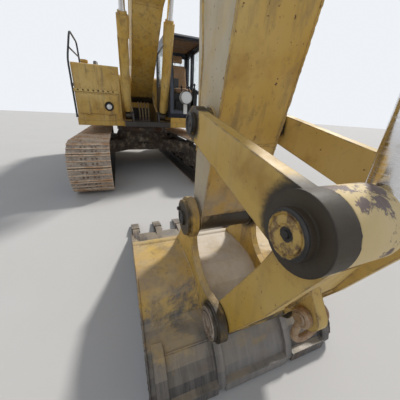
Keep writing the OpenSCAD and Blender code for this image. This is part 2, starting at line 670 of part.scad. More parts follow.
module cab_shell() color(post_blue) at_swing() {
  cab_walls();
  translate([hinge_x - 7, cab_out + hinge_off, 0])
    hinge_half([for (z = cab_hinges) each [z - 40 - seat_gap, z + 60 + seat_gap]], 40, -1, 1);
}
module cab_walls() difference() {
  slab(cab_w, cab_mid) polygon(cab_side);
  slab(cab_w - 2 * cab_wall, cab_mid) polygon(cab_room);
  // Open front
  block([cab_front - 300, cab_in + 75, front_low], [cab_front + 50, cab_out - 75, front_high - 130]);
  slab(cab_w - 150, cab_mid) polygon([[cab_front - 500, cab_z - 200], [cab_front - 190, cab_z - 300],
    [cab_front + 60, cab_z - 300], [cab_front - 180, cab_z - 60], [cab_front - 310, cab_z - 75]]);
  // Rear window
  block([cab_back - 20, cab_in + 110, rear_low], [cab_back + cab_wall + 20, cab_out - 110, rear_high]);
  // Windows of the right wall
  slab(cab_wall + 20, cab_in + cab_wall / 2) polygon(right_window);
  // Door opening and the pane behind it
  slab(cab_wall + 20, cab_out - cab_wall / 2) polygon(door_cut);
  slab(cab_wall + 20, cab_out - cab_wall / 2) polygon(rear_side_window);
}
// Pane in a wall at y, a little smaller than its opening
module side_pane(shape, y) slab(glass_t, y) offset(delta = -0.3) polygon(shape);
module cab_glass() color("#9fb4bd") at_swing() {
  side_pane(right_window, cab_in + cab_wall / 2);
  side_pane(rear_side_window, cab_out - cab_wall / 2);
  block([cab_back + 20, cab_in + 110.3, rear_low + 0.3], [cab_back + 20 + glass_t, cab_out - 110.3, rear_high - 0.3]);
}
door_t = 44;
door_y = cab_out - door_t / 2;
hinge_x = cab_back + 520;
cab_hinges = [cab_floor_z + 250, cab_floor_z + 1250];
module cab_door() color(yellow) at_swing() {
  slab(door_t, door_y) difference() {
    polygon(door_shape);
    polygon(door_window);
    polygon(door_low_window);
  }
  translate([hinge_x - 7, cab_out + hinge_off, 0]) hinge_half(cab_hinges, 60, 1, 1);
  // Outer handle
  block([cab_front - 190, cab_out - 4, cab_floor_z + 575], [cab_front - 110, cab_out + 22, cab_floor_z + 625]);
}
module cab_door_glass() color("#9fb4bd") at_swing() {
  side_pane(door_window, door_y);
  side_pane(door_low_window, door_y);
}

seat_x = 330;
seat_y = cab_mid + 10;
seat_z = cab_floor_z + cab_wall + 480;
module seat() color(seat_tan) at_swing() {
  // Cushion, back and head rest
  slab(500, seat_y) bar([seat_x - 30, seat_z + 60], [seat_x + 350, seat_z + 66], 60, 54);
  slab(480, seat_y) bar([seat_x - 100, seat_z + 150], [seat_x - 215, seat_z + 660], 62, 50);
  for (s = [-1, 1]) slab(16, seat_y + s * 70) bar([seat_x - 215, seat_z + 650], [seat_x - 236, seat_z + 770], 8, 8);
  slab(270, seat_y) bar([seat_x - 230, seat_z + 758], [seat_x - 256, seat_z + 870], 44, 38);
}
module seat_base() color(dark) at_swing() {
  block([seat_x - 60, seat_y - 200, cab_floor_z + cab_wall + 0.3], [seat_x + 360, seat_y + 200, cab_floor_z + cab_wall + 330]);
  block([seat_x - 90, seat_y - 230, cab_floor_z + cab_wall + 330], [seat_x + 390, seat_y + 230, seat_z - seat_gap]);
}
console_h = seat_z + 110;
module cab_controls() color(dark) at_swing() {
  // Consoles beside the seat with their joysticks
  for (s = [-1, 1]) {
    y = seat_y + s * 320;
    block([seat_x - 40, y - 50, cab_floor_z + cab_wall + 0.3], [seat_x + 330, y + 50, console_h]);
    translate([seat_x + 250, y, console_h - 5]) cylinder(r = 16, h = 130);
    translate([seat_x + 250, y, console_h + 120]) sphere(30);
  }
  // Travel levers and pedals
  for (s = [-1, 1]) {
    translate([cab_front - 330, cab_mid + s * 90, cab_floor_z + cab_wall + 3]) rotate([0, -8, 0])
      cylinder(r = 13, h = 620);
    translate([cab_front - 330 - 86, cab_mid + s * 90, cab_floor_z + cab_wall + 610]) sphere(26);
    block([cab_front - 360, cab_mid + s * 90 - 55, cab_floor_z + cab_wall + 0.3],
      [cab_front - 200, cab_mid + s * 90 + 55, cab_floor_z + cab_wall + 70]);
  }
  // Monitor on the right post
  block([cab_front - 230, cab_in + cab_wall + 0.3, cab_floor_z + 620], [cab_front - 130, cab_in + cab_wall + 150, cab_floor_z + 790]);
}
lamp_r = 135;
module work_lamp() color("white") at_swing()
  translate([cab_front + 10, cab_in + 330, cab_floor_z + 420]) {
    rotate([0, 90, 0]) difference() {
      cylinder(r = lamp_r, h = 92);
      translate([0, 0, 80]) cylinder(r = lamp_r - 14, h = 30);
    }
    block([-9.7, -40, -330], [12, 40, 30]);
  }

// Hoses between the platform and the boom foot
module hose_bank() color(dark) at_swing() for (i = [-3, -1, 1, 3])
  tube_run(rounded([[700, i * 34, deck_top + 2], [690, i * 34, deck_top + 160],
    [600, i * 36, deck_top + 330], [450, i * 38, foot.y - 130]], 60), 18, 8);

// Boom

boom_eye_w = 104;
module at_boom() translate([foot.x, 0, foot.y]) rotate([0, -boom_rise, 0]) children();
tip_fork = 690;
stick_slot = stick_w + 2 * run_gap + 6;
knee_pt = [knee_along, knee_up];
low_dir = knee_pt / norm(knee_pt);
high_dir = ([boom_len, 0] - knee_pt) / norm([boom_len, 0] - knee_pt);
knee_n = [-(low_dir.y + high_dir.y) / 2, (low_dir.x + high_dir.x) / 2];
function left_of(d) = [-d.y, d.x];
fork_from = [boom_len, 0] - tip_fork * high_dir;
module boom() color(yellow) at_swing() at_boom() difference() {
  union() {
    slab(boom_w) union() {
      // Lower section from the foot to the bend
      polygon([left_of(low_dir) * boom_end_half * 0.7,
        low_dir * 650 + left_of(low_dir) * (boom_end_half + 55),
        knee_pt - low_dir * 420 + left_of(low_dir) * (knee_half - 25),
        knee_pt + knee_n * (knee_half + 5),
        knee_pt + high_dir * 420 + left_of(high_dir) * (knee_half - 30),
        fork_from + left_of(high_dir) * boom_end_half,
        fork_from - left_of(high_dir) * boom_end_half,
        knee_pt + high_dir * 700 - left_of(high_dir) * (knee_half - 40),
        knee_pt + high_dir * 160 - left_of(high_dir) * (knee_half + 15),
        knee_pt - knee_n * (knee_half + 28),
        knee_pt - low_dir * 160 - left_of(low_dir) * (knee_half + 15),
        knee_pt - low_dir * 700 - left_of(low_dir) * (knee_half - 60),
        low_dir * 650 - left_of(low_dir) * boom_end_half,
        -left_of(low_dir) * boom_end_half * 0.7]);
      circle(boom_boss_r);
    }
    // Flared foot
    crosswise([0, 0], boom_boss_r, boom_w + 2 * boom_flare);
    slab(boom_w + 2 * boom_flare - 10) bar([0, 0], low_dir * 420, boom_boss_r - 10, 60);
    // Fork that holds the stick
    difference() {
      slab(stick_slot + 110) union() {
        bar([boom_len, 0], fork_from - high_dir * 120, boom_boss_r, boom_end_half - 8);
      }
      slab(stick_slot) union() {
        bar([boom_len, 0] + high_dir * 300, fork_from + high_dir * 30, 400, 400);
      }
    }
    for (s = [-1, 1]) crosswise([boom_len, 0], boom_boss_r - 14, 30, s * (stick_slot / 2 + 55 + 15));
    crosswise([boom_len, 0], 46, 2 * (stick_slot / 2 + 55) + 76);
    // Bosses beside the bend for the boom rods
    crosswise([boom_eye_along, boom_eye_up], 86, 2 * (boom_cyl_y - boom_eye_w / 2 - run_gap));
    // Ears of the stick cylinder
    for (s = [-1, 1]) slab(40, s * 92) union() {
      bar([stick_foot_along, stick_foot_up], knee_pt + high_dir * 900 + left_of(high_dir) * 200, 88, 190);
    }
    crosswise([stick_foot_along, stick_foot_up], cyl_pin_r, 224);
    // Oil pipes on the boom's back
    for (s = [-1, 1]) for (k = [0, 1])
      slab(34, s * (110 + 50 * k)) union() {
        for (j = [0, 1]) polygon(j == 0 ?
          [low_dir * 700 + left_of(low_dir) * (boom_end_half + 50),
           low_dir * 700 + left_of(low_dir) * (boom_end_half + 96),
           knee_pt - low_dir * 440 + left_of(low_dir) * (knee_half + 14),
           knee_pt - low_dir * 440 + left_of(low_dir) * (knee_half - 30)] :
          [knee_pt - low_dir * 440 + left_of(low_dir) * (knee_half - 40),
           knee_pt - low_dir * 440 + left_of(low_dir) * (knee_half + 14),
           knee_pt + knee_n * (knee_half + 46), knee_pt + knee_n * (knee_half - 10)]);
      }
  }
  // Bore of the foot
  crosswise([0, 0], 55, boom_w + 80);
}

// Cylinders

// Tube side of a cylinder from foot pin p towards q
module cylinder_tube(p, q, len, r, y, eye_w, eye_r, bore) {
  d = (q - p) / norm(q - p);
  difference() {
    union() {
      crosswise(p, eye_r, eye_w, y);
      along(p + d * (eye_r * 0.5), p + d * (eye_r + 60), eye_w / 2 - 4, y);
      along(p + d * (eye_r + 45), p + d * (len - 330), r, y);
      along(p + d * (len - 345), p + d * (len - 40), r + 17, y);
      along(p + d * (len - 60), p + d * len, r - 6, y);
    }
    crosswise(p, bore, eye_w + 20, y);
    along(p + d * (eye_r + 90), p + d * (len + 10), rod_r + 6, y);
  }
  // Oil pipe along the tube, on its outer side
  along(p + d * (eye_r + 80), p + d * (len - 330), 13, y + (y < 0 ? -1 : 1) * (r + 8));
}
// Rod side with its eye at q
module cylinder_rod(p, q, len, start, y, eye_w, eye_r) {
  d = (q - p) / norm(q - p);
  crosswise(q, eye_r, eye_w, y);
  along(p + d * start, q, rod_r, y);
  along(p + d * (len - 120), p + d * (len + 20), rod_r + 5.7, y);
}
module boom_cylinders() color(yellow) at_swing() for (s = [-1, 1])
  cylinder_tube(boom_cyl_foot, boom_eye, boom_cyl_tube, boom_cyl_r, s * boom_cyl_y, boom_eye_w, 82, 45);
module boom_rods() color(chrome) at_swing() for (s = [-1, 1]) {
  cylinder_rod(boom_cyl_foot, boom_eye, boom_cyl_tube, boom_rod_start, s * boom_cyl_y, boom_eye_w, 85);
  crosswise(boom_eye, 50, 30, s * (boom_cyl_y + boom_eye_w / 2 + 14));
}
module stick_cylinder() color(yellow) at_swing()
  cylinder_tube(stick_cyl_foot, stick_eye, stick_cyl_tube, arm_cyl_r, 0, 132, 86, 45);
module stick_rod() color(chrome) at_swing() {
  cylinder_rod(stick_cyl_foot, stick_eye, stick_cyl_tube, stick_rod_start, 0, 132, 86);
}
module bucket_cylinder() color(yellow) at_swing()
  cylinder_tube(bucket_cyl_foot, knuckle, bucket_cyl_tube, arm_cyl_r - 8, 0, 124, 80, 45);
module bucket_rod() color(chrome) at_swing()
  cylinder_rod(bucket_cyl_foot, knuckle, bucket_cyl_tube, bucket_rod_start, 0, 124, 82);

// Stick, drawn from the nose pin with its length upwards

link_y = stick_w / 2 + 42 + link_t / 2;
module at_stick() translate([nose.x, 0, nose.y]) rotate([0, stick_lean, 0]) children();
stick_side = [[-70, 60], [-95, 420], [-120, 900], [-235, 1300], [-290, 2100], [-230, 2680],
  [-190, 2960], [60, 3060], [240, 2990], [330, 2700], [345, 2320], [200, 1300], [150, 500],
  [100, 60]];
tail_pt = rot2(stick_eye - tip, stick_lean) + [0, stick_len];
module stick() color(yellow) at_swing() at_stick() difference() {
  union() {
    slab(stick_w) union() {
      polygon(stick_side);
      circle(nose_r);
    }
    crosswise([0, 0], nose_r, nose_w);
    // Pin boss at the boom
    crosswise([0, stick_len], 140, stick_w + 6);
    // Bosses of the idler links
    crosswise([link_out, link_up], 72, stick_w + 2 * 40);
    // Flanges along the belly
    slab(stick_w + 6) polygon([[-118, 640], [-100, 640], [-128, 900], [-243, 1300], [-298, 2100],
      [-240, 2640], [-262, 2640], [-318, 2100], [-263, 1300]]);
    // Ears of the stick cylinder
    for (s = [-1, 1]) slab(44, s * (66 + run_gap + 22)) union() {
      bar(tail_pt, [60, 2900], 92, 190);
    }
    for (s = [-1, 1]) crosswise(tail_pt, 60, 26, s * (66 + run_gap + 44 + 11));
    // Ears of the bucket cylinder
    for (s = [-1, 1]) slab(40, s * (62 + run_gap + 20)) union() {
      bar([bracket_out, bracket_up], [bracket_out - 330, bracket_up - 40], 84, 230);
    }
    crosswise([bracket_out, bracket_up], cyl_pin_r, 214);
    // Idler link pin and its caps
    crosswise([link_out, link_up], 40, 2 * (link_y + link_t / 2 + 2));
    for (s = [-1, 1]) crosswise([link_out, link_up], 54, 12, s * (link_y + link_t / 2 + 7));
  }
  crosswise([0, stick_len], 46.1, stick_w + 40);
  crosswise([0, 0], 50.1, nose_w + 20);
}

// Bucket linkage

module idler_links() color(yellow) at_swing() for (s = [-1, 1]) {
  y = s * link_y;
  slab(link_t, y) difference() {
    union() {
      bar(link_pin, knuckle, 74, 92);
      translate(link_pin) circle(82);
    }
    translate(link_pin) circle(40.1);
  }
  crosswise(knuckle, 98, link_t + 16, y);
  // Knuckle pin and its outer ring
  crosswise(knuckle, 45, link_t + 150, y - s * 60);
  crosswise(knuckle, 60, 24, y + s * (link_t / 2 + 16));
}
power_dir = (bucket_pin - knuckle) / norm(bucket_pin - knuckle);
power_side = [-power_dir.y, power_dir.x];
power_half = link_y - link_t / 2 - 8 - run_gap;
eye_slot = 62 + run_gap;
module power_link() color(yellow) at_swing() {
  for (s = [-1, 1]) {
    difference() {
      crosswise(knuckle, 96, power_half - eye_slot, s * (power_half + eye_slot) / 2);
      crosswise(knuckle, 45.1, 2 * power_half + 20);
    }
    slab(40, s * (nose_w / 2 - 21)) difference() {
      polygon([knuckle - power_side * 84 + power_dir * 10, knuckle + power_side * 88 + power_dir * 10,
        knuckle + power_side * 96 + power_dir * 420, bucket_pin + power_side * 77 - power_dir * 30,
        bucket_pin - power_side * 77 - power_dir * 10, bucket_pin - power_side * 66 - power_dir * 180,
        knuckle - power_side * 46 + power_dir * 300, knuckle - power_side * 50 + power_dir * 150]);
      translate(knuckle) circle(70);
    }
  }
  // Box between the side plates
  slab(2 * power_half - 60) polygon([knuckle + power_side * 58 + power_dir * 250,
    knuckle + power_side * 80 + power_dir * 420, bucket_pin + power_side * 62 - power_dir * 60,
    bucket_pin - power_side * 58 - power_dir * 60, knuckle - power_side * 34 + power_dir * 330,
    knuckle - power_side * 30 + power_dir * 250]);
  crosswise(bucket_pin, 80, nose_w - 2);
  // Lifting eye on the outer face
  slab(eye_t) difference() {
    bar(lift_eye, knuckle + power_side * 30 + power_dir * 425, 54, 92);
    translate(lift_eye) circle(eye_hole);
  }
}
lift_eye = knuckle + power_side * 134 + power_dir * 440;
eye_t = 46;
eye_hole = 27;

// Bucket, drawn from the nose pin

module at_bucket() translate([nose.x, 0, nose.y]) children();
ground = -nose.y + 4;
heel_x = 610;
lip_x = -1060;
// Outer outline from the mouth's top edge over the heel to the lip, and the inner one
mouth = [-262, -330];
back_outline = [mouth, [-120, -311], [40, -310], [130, -322], [200, -350], [248, -392], [284, -446],
  [312, -490], [348, -508], [400, -512], [440, -516], [484, -530], [540, -578], [583, -640], [605, -700]];
shell_out = concat(back_outline, [[heel_x, ground + 60], [heel_x - 8, ground + 30],
  [heel_x - 30, ground + 9], [heel_x - 62, ground]], [[lip_x, ground]]);
back_inner = [[-262, -356], [-120, -334], [38, -333], [122, -344], [186, -370], [230, -406], [264, -459],
  [295, -508], [341, -531], [398, -535], [436, -539], [474, -551], [523, -593], [563, -650], [583, -706]];
shell_in = concat(back_inner, [[heel_x - 22, ground + 62], [heel_x - 30, ground + 41],
  [heel_x - 44, ground + 27], [heel_x - 66, ground + wrap_t]],
  [[lip_x - 60, ground + wrap_t], [lip_x - 60, -356]]);
pin_b = bucket_pin - nose;
ear_r = 134;
ear_y = nose_w / 2 + run_gap + ear_t / 2;
module bucket() color(yellow) at_swing() at_bucket() {
  difference() {
    slab(bucket_w) polygon(concat(shell_out, [[lip_x, ground + 40]], [[-274, -356]]));
    slab(bucket_w - 2 * side_t) polygon(shell_in);
  }
  // Cutting edge, thicker than the wrapper
  slab(bucket_w) polygon([[lip_x - 60, ground], [lip_x + 240, ground], [lip_x + 240, ground + 44],
    [lip_x + 30, ground + 44]]);
  // Side cutters
  for (s = [-1, 1]) slab(side_t + 20, s * (bucket_w / 2 - side_t / 2 - 10)) polygon([
    [lip_x + 20, ground], [lip_x + 160, ground], [-140, -380], [-190, -322], [-262, -320], [-310, -346]]);
  // Lip of the mouth's top edge
  crosswise([-256, -348], 36, bucket_w);
  // Ears with their bosses, and the straps that carry on over the heel
  for (s = [-1, 1]) {
    slab(ear_t, s * ear_y) union() {
      circle(ear_r);
      translate(pin_b) circle(104);
      polygon([[-ear_r + 4, 10], [-128, -90], [-142, -160], [-178, -230], [-262, -320], [40, -322],
        [126, -333], [192, -360], [238, -400], [272, -452], [303, -499], [344, -519], [400, -523],
        [438, -527], [478, -541], pin_b + [88, -46], pin_b + [70, 72], pin_b + [-14, 102],
        [420, -290], [357, -303], [280, -292], [206, -261], [150, -212], [112, -158], [96, -100]]);
      polygon([[380, -440], [470, -455], [560, -560], [606, -630], [632, -700], [636, ground + 44],
        [628, ground + 16], [606, ground + 2], [540, ground + 2], [520, -620]]);
    }
    // Outer boss rings and pin ends
    crosswise([0, 0], 118, 26, s * (ear_y + ear_t / 2 + 13));
    crosswise(pin_b, 88, 24, s * (ear_y + ear_t / 2 + 12));
    crosswise(pin_b, 46, ear_t + 20, s * (ear_y + 10));
  }
  crosswise([0, 0], 50, 2 * (ear_y + ear_t / 2 + 26) + 16);
  // Outer wear straps
  for (y = [-bucket_w / 2 + 60, bucket_w / 2 - 60]) slab(60, y) polygon([[430, -498], [500, -512],
    [570, -580], [612, -650], [628, -710], [630, ground + 44], [622, ground + 16], [600, ground + 2],
    [540, ground + 2], [560, -640], [500, -560], [430, -525]]);
  // Wear bars across the heel between the straps
  for (b = [[-bucket_w / 2 + 90, -ear_y - ear_t / 2], [-ear_y + ear_t / 2, ear_y - ear_t / 2],
    [ear_y + ear_t / 2, bucket_w / 2 - 90]])
    block([560, b[0], ground + 8], [640, b[1], ground + 74]);
  // Teeth on their adapters
  for (i = [0:tooth_count - 1]) {
    y = (i - (tooth_count - 1) / 2) * (bucket_w - tooth_w - 30) / (tooth_count - 1);
    slab(tooth_w - 18, y) polygon([[lip_x + 130, ground + 40], [lip_x - 20, ground + 70],
      [lip_x - 120, ground + 60], [lip_x - 120, ground + 8], [lip_x + 130, ground + 2]]);
    slab(tooth_w, y) polygon([[lip_x - 70, ground + 74], [lip_x - 150, ground + 62],
      [lip_x - 280, ground + 22], [lip_x - 280, ground + 10], [lip_x - 70, ground + 2]]);
  }
}

car_body();
track_frame_left();
track_frame_right();
track_left();
track_right();
idler_left();
idler_right();
sprocket_left();
sprocket_right();
slew_ring();
platform();
counterweight();
engine_block();
engine_house();
engine_hood();
side_door_left();
side_door_right();
fuel_tank();
tool_box_lid();
handrails();
exhaust_stack();
cab_shell();
cab_glass();
cab_door();
cab_door_glass();
seat();
seat_base();
cab_controls();
work_lamp();
head_lamp();
hose_bank();
boom();
boom_cylinders();
boom_rods();
stick_cylinder();
stick_rod();
stick();
bucket_cylinder();
bucket_rod();
idler_links();
power_link();
bucket();
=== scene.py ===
import math
import random

import bmesh
import bpy
from mathutils import Matrix, Vector
from mathutils.bvhtree import BVHTree


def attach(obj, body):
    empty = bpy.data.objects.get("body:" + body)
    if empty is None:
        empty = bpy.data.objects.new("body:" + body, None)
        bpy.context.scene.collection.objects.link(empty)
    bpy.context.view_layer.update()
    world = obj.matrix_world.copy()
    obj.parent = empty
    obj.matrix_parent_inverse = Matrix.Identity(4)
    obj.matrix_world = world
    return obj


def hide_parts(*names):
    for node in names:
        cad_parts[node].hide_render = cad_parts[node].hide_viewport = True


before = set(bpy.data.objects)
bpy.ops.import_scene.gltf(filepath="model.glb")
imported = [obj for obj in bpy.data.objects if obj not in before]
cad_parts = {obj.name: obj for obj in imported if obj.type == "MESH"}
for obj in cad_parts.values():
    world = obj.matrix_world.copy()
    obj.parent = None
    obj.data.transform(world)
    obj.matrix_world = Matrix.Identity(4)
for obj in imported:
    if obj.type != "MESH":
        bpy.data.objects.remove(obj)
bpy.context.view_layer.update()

random.seed(7)

# ---------------------------------------------------------------- places, as in the part's source
# Millimetres from the swing axis on the ground: x ahead, y to the cab's side, z up

BACK = 1.603  # the swing axis stands this far behind the frame's origin, in metres

# Pins across the machine, as (x, z)
FOOT = (150, 1720)  # boom on the deck
BOOM_CYL = (940, 1290)  # boom cylinders on the deck
STICK_CYL = (2748.8, 3981.0)  # stick cylinder on the boom
TIP = (5359.8, 3544.4)  # stick on the boom
BUCKET_CYL = (5872.3, 3454.1)  # bucket cylinder on the stick
LINK = (5112.7, 1357.7)  # idler links on the stick
KNUCKLE = (5850.5, 1175.4)  # idler links, power link and bucket rod
NOSE = (4979.8, 770.3)  # bucket on the stick
HEEL = (5465.0, 384.4)  # power link on the bucket

# Each track: axles of idler and sprocket, radius to the shoes' plates, number of shoes, middle
AXLE_X, AXLE_Z, SHOE_R, SHOES, TRACK_Y = 2080.0, 450.0, 424.0, 50, 1106
LINK_FACE = 271.5  # outer face of an idler link
SEAT_X, SEAT_Y, SEAT_Z = 330, 960, 1830
LAMP_X, LAMP_Y, LAMP_Z = 1290, 830, 1710
SIDES = (-1, 1)


def P(x, y, z):
    """A place given in millimetres from the swing axis, as metres in the frame."""
    return Vector((x / 1000 - BACK, y / 1000, z / 1000))


def on_pin(pin, y):
    return P(pin[0], y, pin[1])


def around(n, start=0.0):
    """Cosine and sine of n even steps round a circle."""
    angles = [start + 2 * math.pi * i / n for i in range(n)]
    return [(math.cos(a), math.sin(a)) for a in angles]


# ---------------------------------------------------------------- camera and light

CAMERA_AT = (6.1355 - BACK, -0.6182, 1.4063)  # metres
YAW, PITCH, ROLL = 21.6212, 22.8563, 2.8862  # degrees off straight back, down and over
FOCAL, PICTURE_W, SENSOR = 204.953, 400, 36.0  # pixels, pixels, millimetres


def set_camera():
    yaw, pitch, roll = (math.radians(a) for a in (YAW, PITCH, ROLL))
    ahead = Vector((-math.cos(yaw) * math.cos(pitch), math.sin(yaw) * math.cos(pitch), -math.sin(pitch)))
    level = Vector((math.sin(yaw), math.cos(yaw), 0))
    down = ahead.cross(level)
    c, s = math.cos(roll), math.sin(roll)
    cam = bpy.data.cameras.new("camera")
    cam.sensor_fit = "HORIZONTAL"
    cam.sensor_width = SENSOR
    cam.lens = FOCAL / PICTURE_W * SENSOR
    cam.clip_start, cam.clip_end = 0.02, 500
    place = Matrix((c * level - s * down, -(s * level + c * down), -ahead)).transposed().to_4x4()
    place.translation = Vector(CAMERA_AT)
    obj = bpy.data.objects.new("camera", cam)
    obj.matrix_world = place
    bpy.context.scene.collection.objects.link(obj)
    bpy.context.scene.camera = obj


def sun(name, towards, energy, angle, colour):
    lamp = bpy.data.lights.new(name, "SUN")
    lamp.energy, lamp.angle, lamp.color = energy, math.radians(angle), colour
    obj = bpy.data.objects.new(name, lamp)
    obj.rotation_euler = Vector(towards).to_track_quat("Z", "Y").to_euler()
    bpy.context.scene.collection.objects.link(obj)


def set_world():
    """Even daylight on the object, and a paler sky for the camera, glass and polished metal."""
    world = bpy.data.worlds.new("world")
    bpy.context.scene.world = world
    world.use_nodes = True
    tree = world.node_tree

    def either(a, b):
        n = tree.nodes.new("ShaderNodeMath")
        n.operation = "MAXIMUM"
        tree.links.new(a, n.inputs[0])
        tree.links.new(b, n.inputs[1])
        return n.outputs[0]

    light = tree.nodes["Background"]
    light.inputs["Color"].default_value = (0.80, 0.86, 0.95, 1)
    light.inputs["Strength"].default_value = 0.46
    sky = tree.nodes.new("ShaderNodeBackground")
    sky.inputs["Color"].default_value = (0.86, 0.89, 0.93, 1)
    ray = tree.nodes.new("ShaderNodeLightPath").outputs
    seen = either(either(ray["Is Camera Ray"], ray["Is Transmission Ray"]), ray["Is Glossy Ray"])
    choice = tree.nodes.new("ShaderNodeMixShader")
    for i, sock in enumerate((seen, light.outputs[0], sky.outputs[0])):
        tree.links.new(sock, choice.inputs[i])
    tree.links.new(choice.outputs[0], tree.nodes["World Output"].inputs["Surface"])


set_camera()
sun("key", (-0.42, 0.62, 0.72), 3.0, 7, (1.0, 0.97, 0.92))
sun("fill", (0.75, -0.5, 0.45), 0.40, 60, (0.95, 0.97, 1.0))
set_world()
bpy.context.scene.view_settings.view_transform = "Standard"


# ---------------------------------------------------------------- materials

class Mat:
    """Builds one procedural material."""

    def __init__(self, name):
        self.material = bpy.data.materials.new(name)
        self.material.use_nodes = True
        self.tree = self.material.node_tree
        self.bsdf = self.tree.nodes["Principled BSDF"]
        coords = self.tree.nodes.new("ShaderNodeTexCoord")
        self.pos, self.nor = coords.outputs["Object"], coords.outputs["Normal"]

    def new(self, kind, **props):
        n = self.tree.nodes.new(kind)
        for k, v in props.items():
            setattr(n, k, v)
        return n

    def put(self, sock, v):
        """Links or sets a socket; a colour of three numbers gets its alpha."""
        if isinstance(v, bpy.types.NodeSocket):
            self.tree.links.new(v, sock)
        elif v is not None:
            if hasattr(sock.default_value, "__len__") and len(sock.default_value) == 4 and len(v) == 3:
                v = (*v, 1)
            sock.default_value = v

    def math(self, op, a, b=None, c=None):
        n = self.new("ShaderNodeMath", operation=op)
        for i, v in enumerate((a, b, c)):
            self.put(n.inputs[i], v)
        return n.outputs[0]

    def add(self, a, b):
        return self.math("ADD", a, b)

    def mul(self, a, b):
        return self.math("MULTIPLY", a, b)

    def length(self, a, b):
        return self.math("SQRT", self.add(self.mul(a, a), self.mul(b, b)))

    def spread(self, v, size):
        """A value from 0 to 1 as one from minus to plus half a size."""
        return self.mul(self.math("SUBTRACT", v, 0.5), size)

    def stretch(self, scale, loc=(0, 0, 0)):
        n = self.new("ShaderNodeMapping")
        self.put(n.inputs["Vector"], self.pos)
        n.inputs["Scale"].default_value = scale
        n.inputs["Location"].default_value = loc
        return n.outputs[0]

    def noise(self, scale, detail=4, rough=0.6, vec=None, warp=0.0):
        n = self.new("ShaderNodeTexNoise")
        self.put(n.inputs["Vector"], vec or self.pos)
        for k, v in (("Scale", scale), ("Detail", detail), ("Roughness", rough), ("Distortion", warp)):
            n.inputs[k].default_value = v
        return n.outputs["Fac"]

    def waves(self, direction, scale, warp=0.0):
        n = self.new("ShaderNodeTexWave", bands_direction=direction)
        self.put(n.inputs["Vector"], self.pos)
        n.inputs["Scale"].default_value = scale
        n.inputs["Distortion"].default_value = warp
        return n.outputs["Fac"]

    def band(self, v, lo, hi, to_lo=0.0, to_hi=1.0):
        n = self.new("ShaderNodeMapRange", interpolation_type="SMOOTHSTEP")
        self.put(n.inputs["Value"], v)
        for k, x in (("From Min", lo), ("From Max", hi), ("To Min", to_lo), ("To Max", to_hi)):
            n.inputs[k].default_value = x
        return n.outputs["Result"]

    def mix(self, f, a, b):
        n = self.new("ShaderNodeMix", data_type="RGBA")
        for i, v in ((0, f), (6, a), (7, b)):
            self.put(n.inputs[i], v)
        return n.outputs[2]

    def axis(self, k, vec=None):
        n = self.new("ShaderNodeSeparateXYZ")
        self.put(n.inputs[0], vec or self.pos)
        return n.outputs[k]

    def off_middle(self):
        """Distance from the machine's middle plane, in metres."""
        return self.math("ABSOLUTE", self.axis(1))

    def bevel(self, radius):
        n = self.new("ShaderNodeBevel", samples=4)
        n.inputs["Radius"].default_value = radius
        return n.outputs[0]

    def edges(self, radius=0.012):
        """1 along sharp edges, 0 on flat faces."""
        d = self.new("ShaderNodeVectorMath", operation="DOT_PRODUCT")
        self.put(d.inputs[0], self.bevel(radius))
        self.put(d.inputs[1], self.new("ShaderNodeNewGeometry").outputs["True Normal"])
        return self.band(d.outputs["Value"], 0.995, 0.90)

    def from_pin(self, pin):
        """Distance from a pin's axis, in metres."""
        return self.length(self.math("SUBTRACT", self.axis(0), pin[0] / 1000 - BACK),
                           self.math("SUBTRACT", self.axis(2), pin[1] / 1000))

    def finish(self, colour, rough, metal=0.0, bump=None, strength=0.3, depth=0.004, bevel=0.0):
        for socket, v in (("Base Color", colour), ("Roughness", rough), ("Metallic", metal)):
            self.put(self.bsdf.inputs[socket], v)
        normal = self.bevel(bevel) if bevel else None
        if bump is not None:
            b = self.new("ShaderNodeBump")
            b.inputs["Strength"].default_value = strength
            b.inputs["Distance"].default_value = depth
            self.put(b.inputs["Height"], bump)
            if normal:
                self.put(b.inputs["Normal"], normal)
            normal = b.outputs[0]
        if normal:
            self.put(self.bsdf.inputs["Normal"], normal)
        return self.material


YELLOW = (0.54, 0.325, 0.052)
YELLOW_PALE = (0.61, 0.435, 0.15)
YELLOW_DEEP = (0.345, 0.185, 0.030)
YELLOW_TANK = (0.48, 0.28, 0.045)
DIRT = (0.155, 0.115, 0.075)
DUST = (0.42, 0.34, 0.24)
RUST = (0.13, 0.050, 0.020)
STEEL = (0.23, 0.19, 0.165)
GREASE = (0.012, 0.010, 0.009)


def scraped_steel_and_painted_sun(k, c, patch, low, high):
    """Bare steel below a height, where the ground scrapes it, and paler between the ears, which is painted
    sunlight in part.
    """
    lines = k.noise(1.0, 8, 0.7, k.stretch((3, 45, 3)))
    bare = k.mix(k.band(lines, 0.35, 0.65), (0.048, 0.045, 0.043), (0.14, 0.126, 0.115))
    bare = k.mix(k.band(k.noise(6, 6), 0.52, 0.68, 0, 0.7), bare, (0.13, 0.075, 0.045))
    # Paler grey between the ears: painted sunlight in part
    bare = k.mix(k.band(k.off_middle(), 0.27, 0.20, 0, 0.45), bare, (0.34, 0.315, 0.29))
    return k.mix(k.band(k.add(k.axis(2), k.spread(patch, 0.9)), high, low), c, bare)


def splash_mud(k, c, low, high):
    """Dried mud splashed up to a height."""
    splashed = k.mul(k.band(k.axis(2), high, low), k.band(k.noise(3.0, 8, 0.75), 0.34, 0.60))
    return k.mix(splashed, c, k.mix(k.noise(24, 5, 0.7), (0.50, 0.44, 0.35), (0.30, 0.25, 0.19)))


def pale_sheet_and_painted_sun(k, c, half_width, low):
    """Sheet pale in patches between the bucket's ears: dust and scouring by the ground in part, painted
    sunlight in part.
    """
    pale = k.band(k.off_middle(), half_width, half_width * 0.93)
    pale = k.mul(pale, k.band(k.axis(2), low, low + 0.05))
    pale = k.mul(pale, k.band(k.noise(4.0, 7, 0.7), 0.30, 0.55, 0.45, 0.95))
    return k.mix(pale, c, k.mix(k.noise(30, 6, 0.7), (0.74, 0.67, 0.57), (0.56, 0.49, 0.41)))


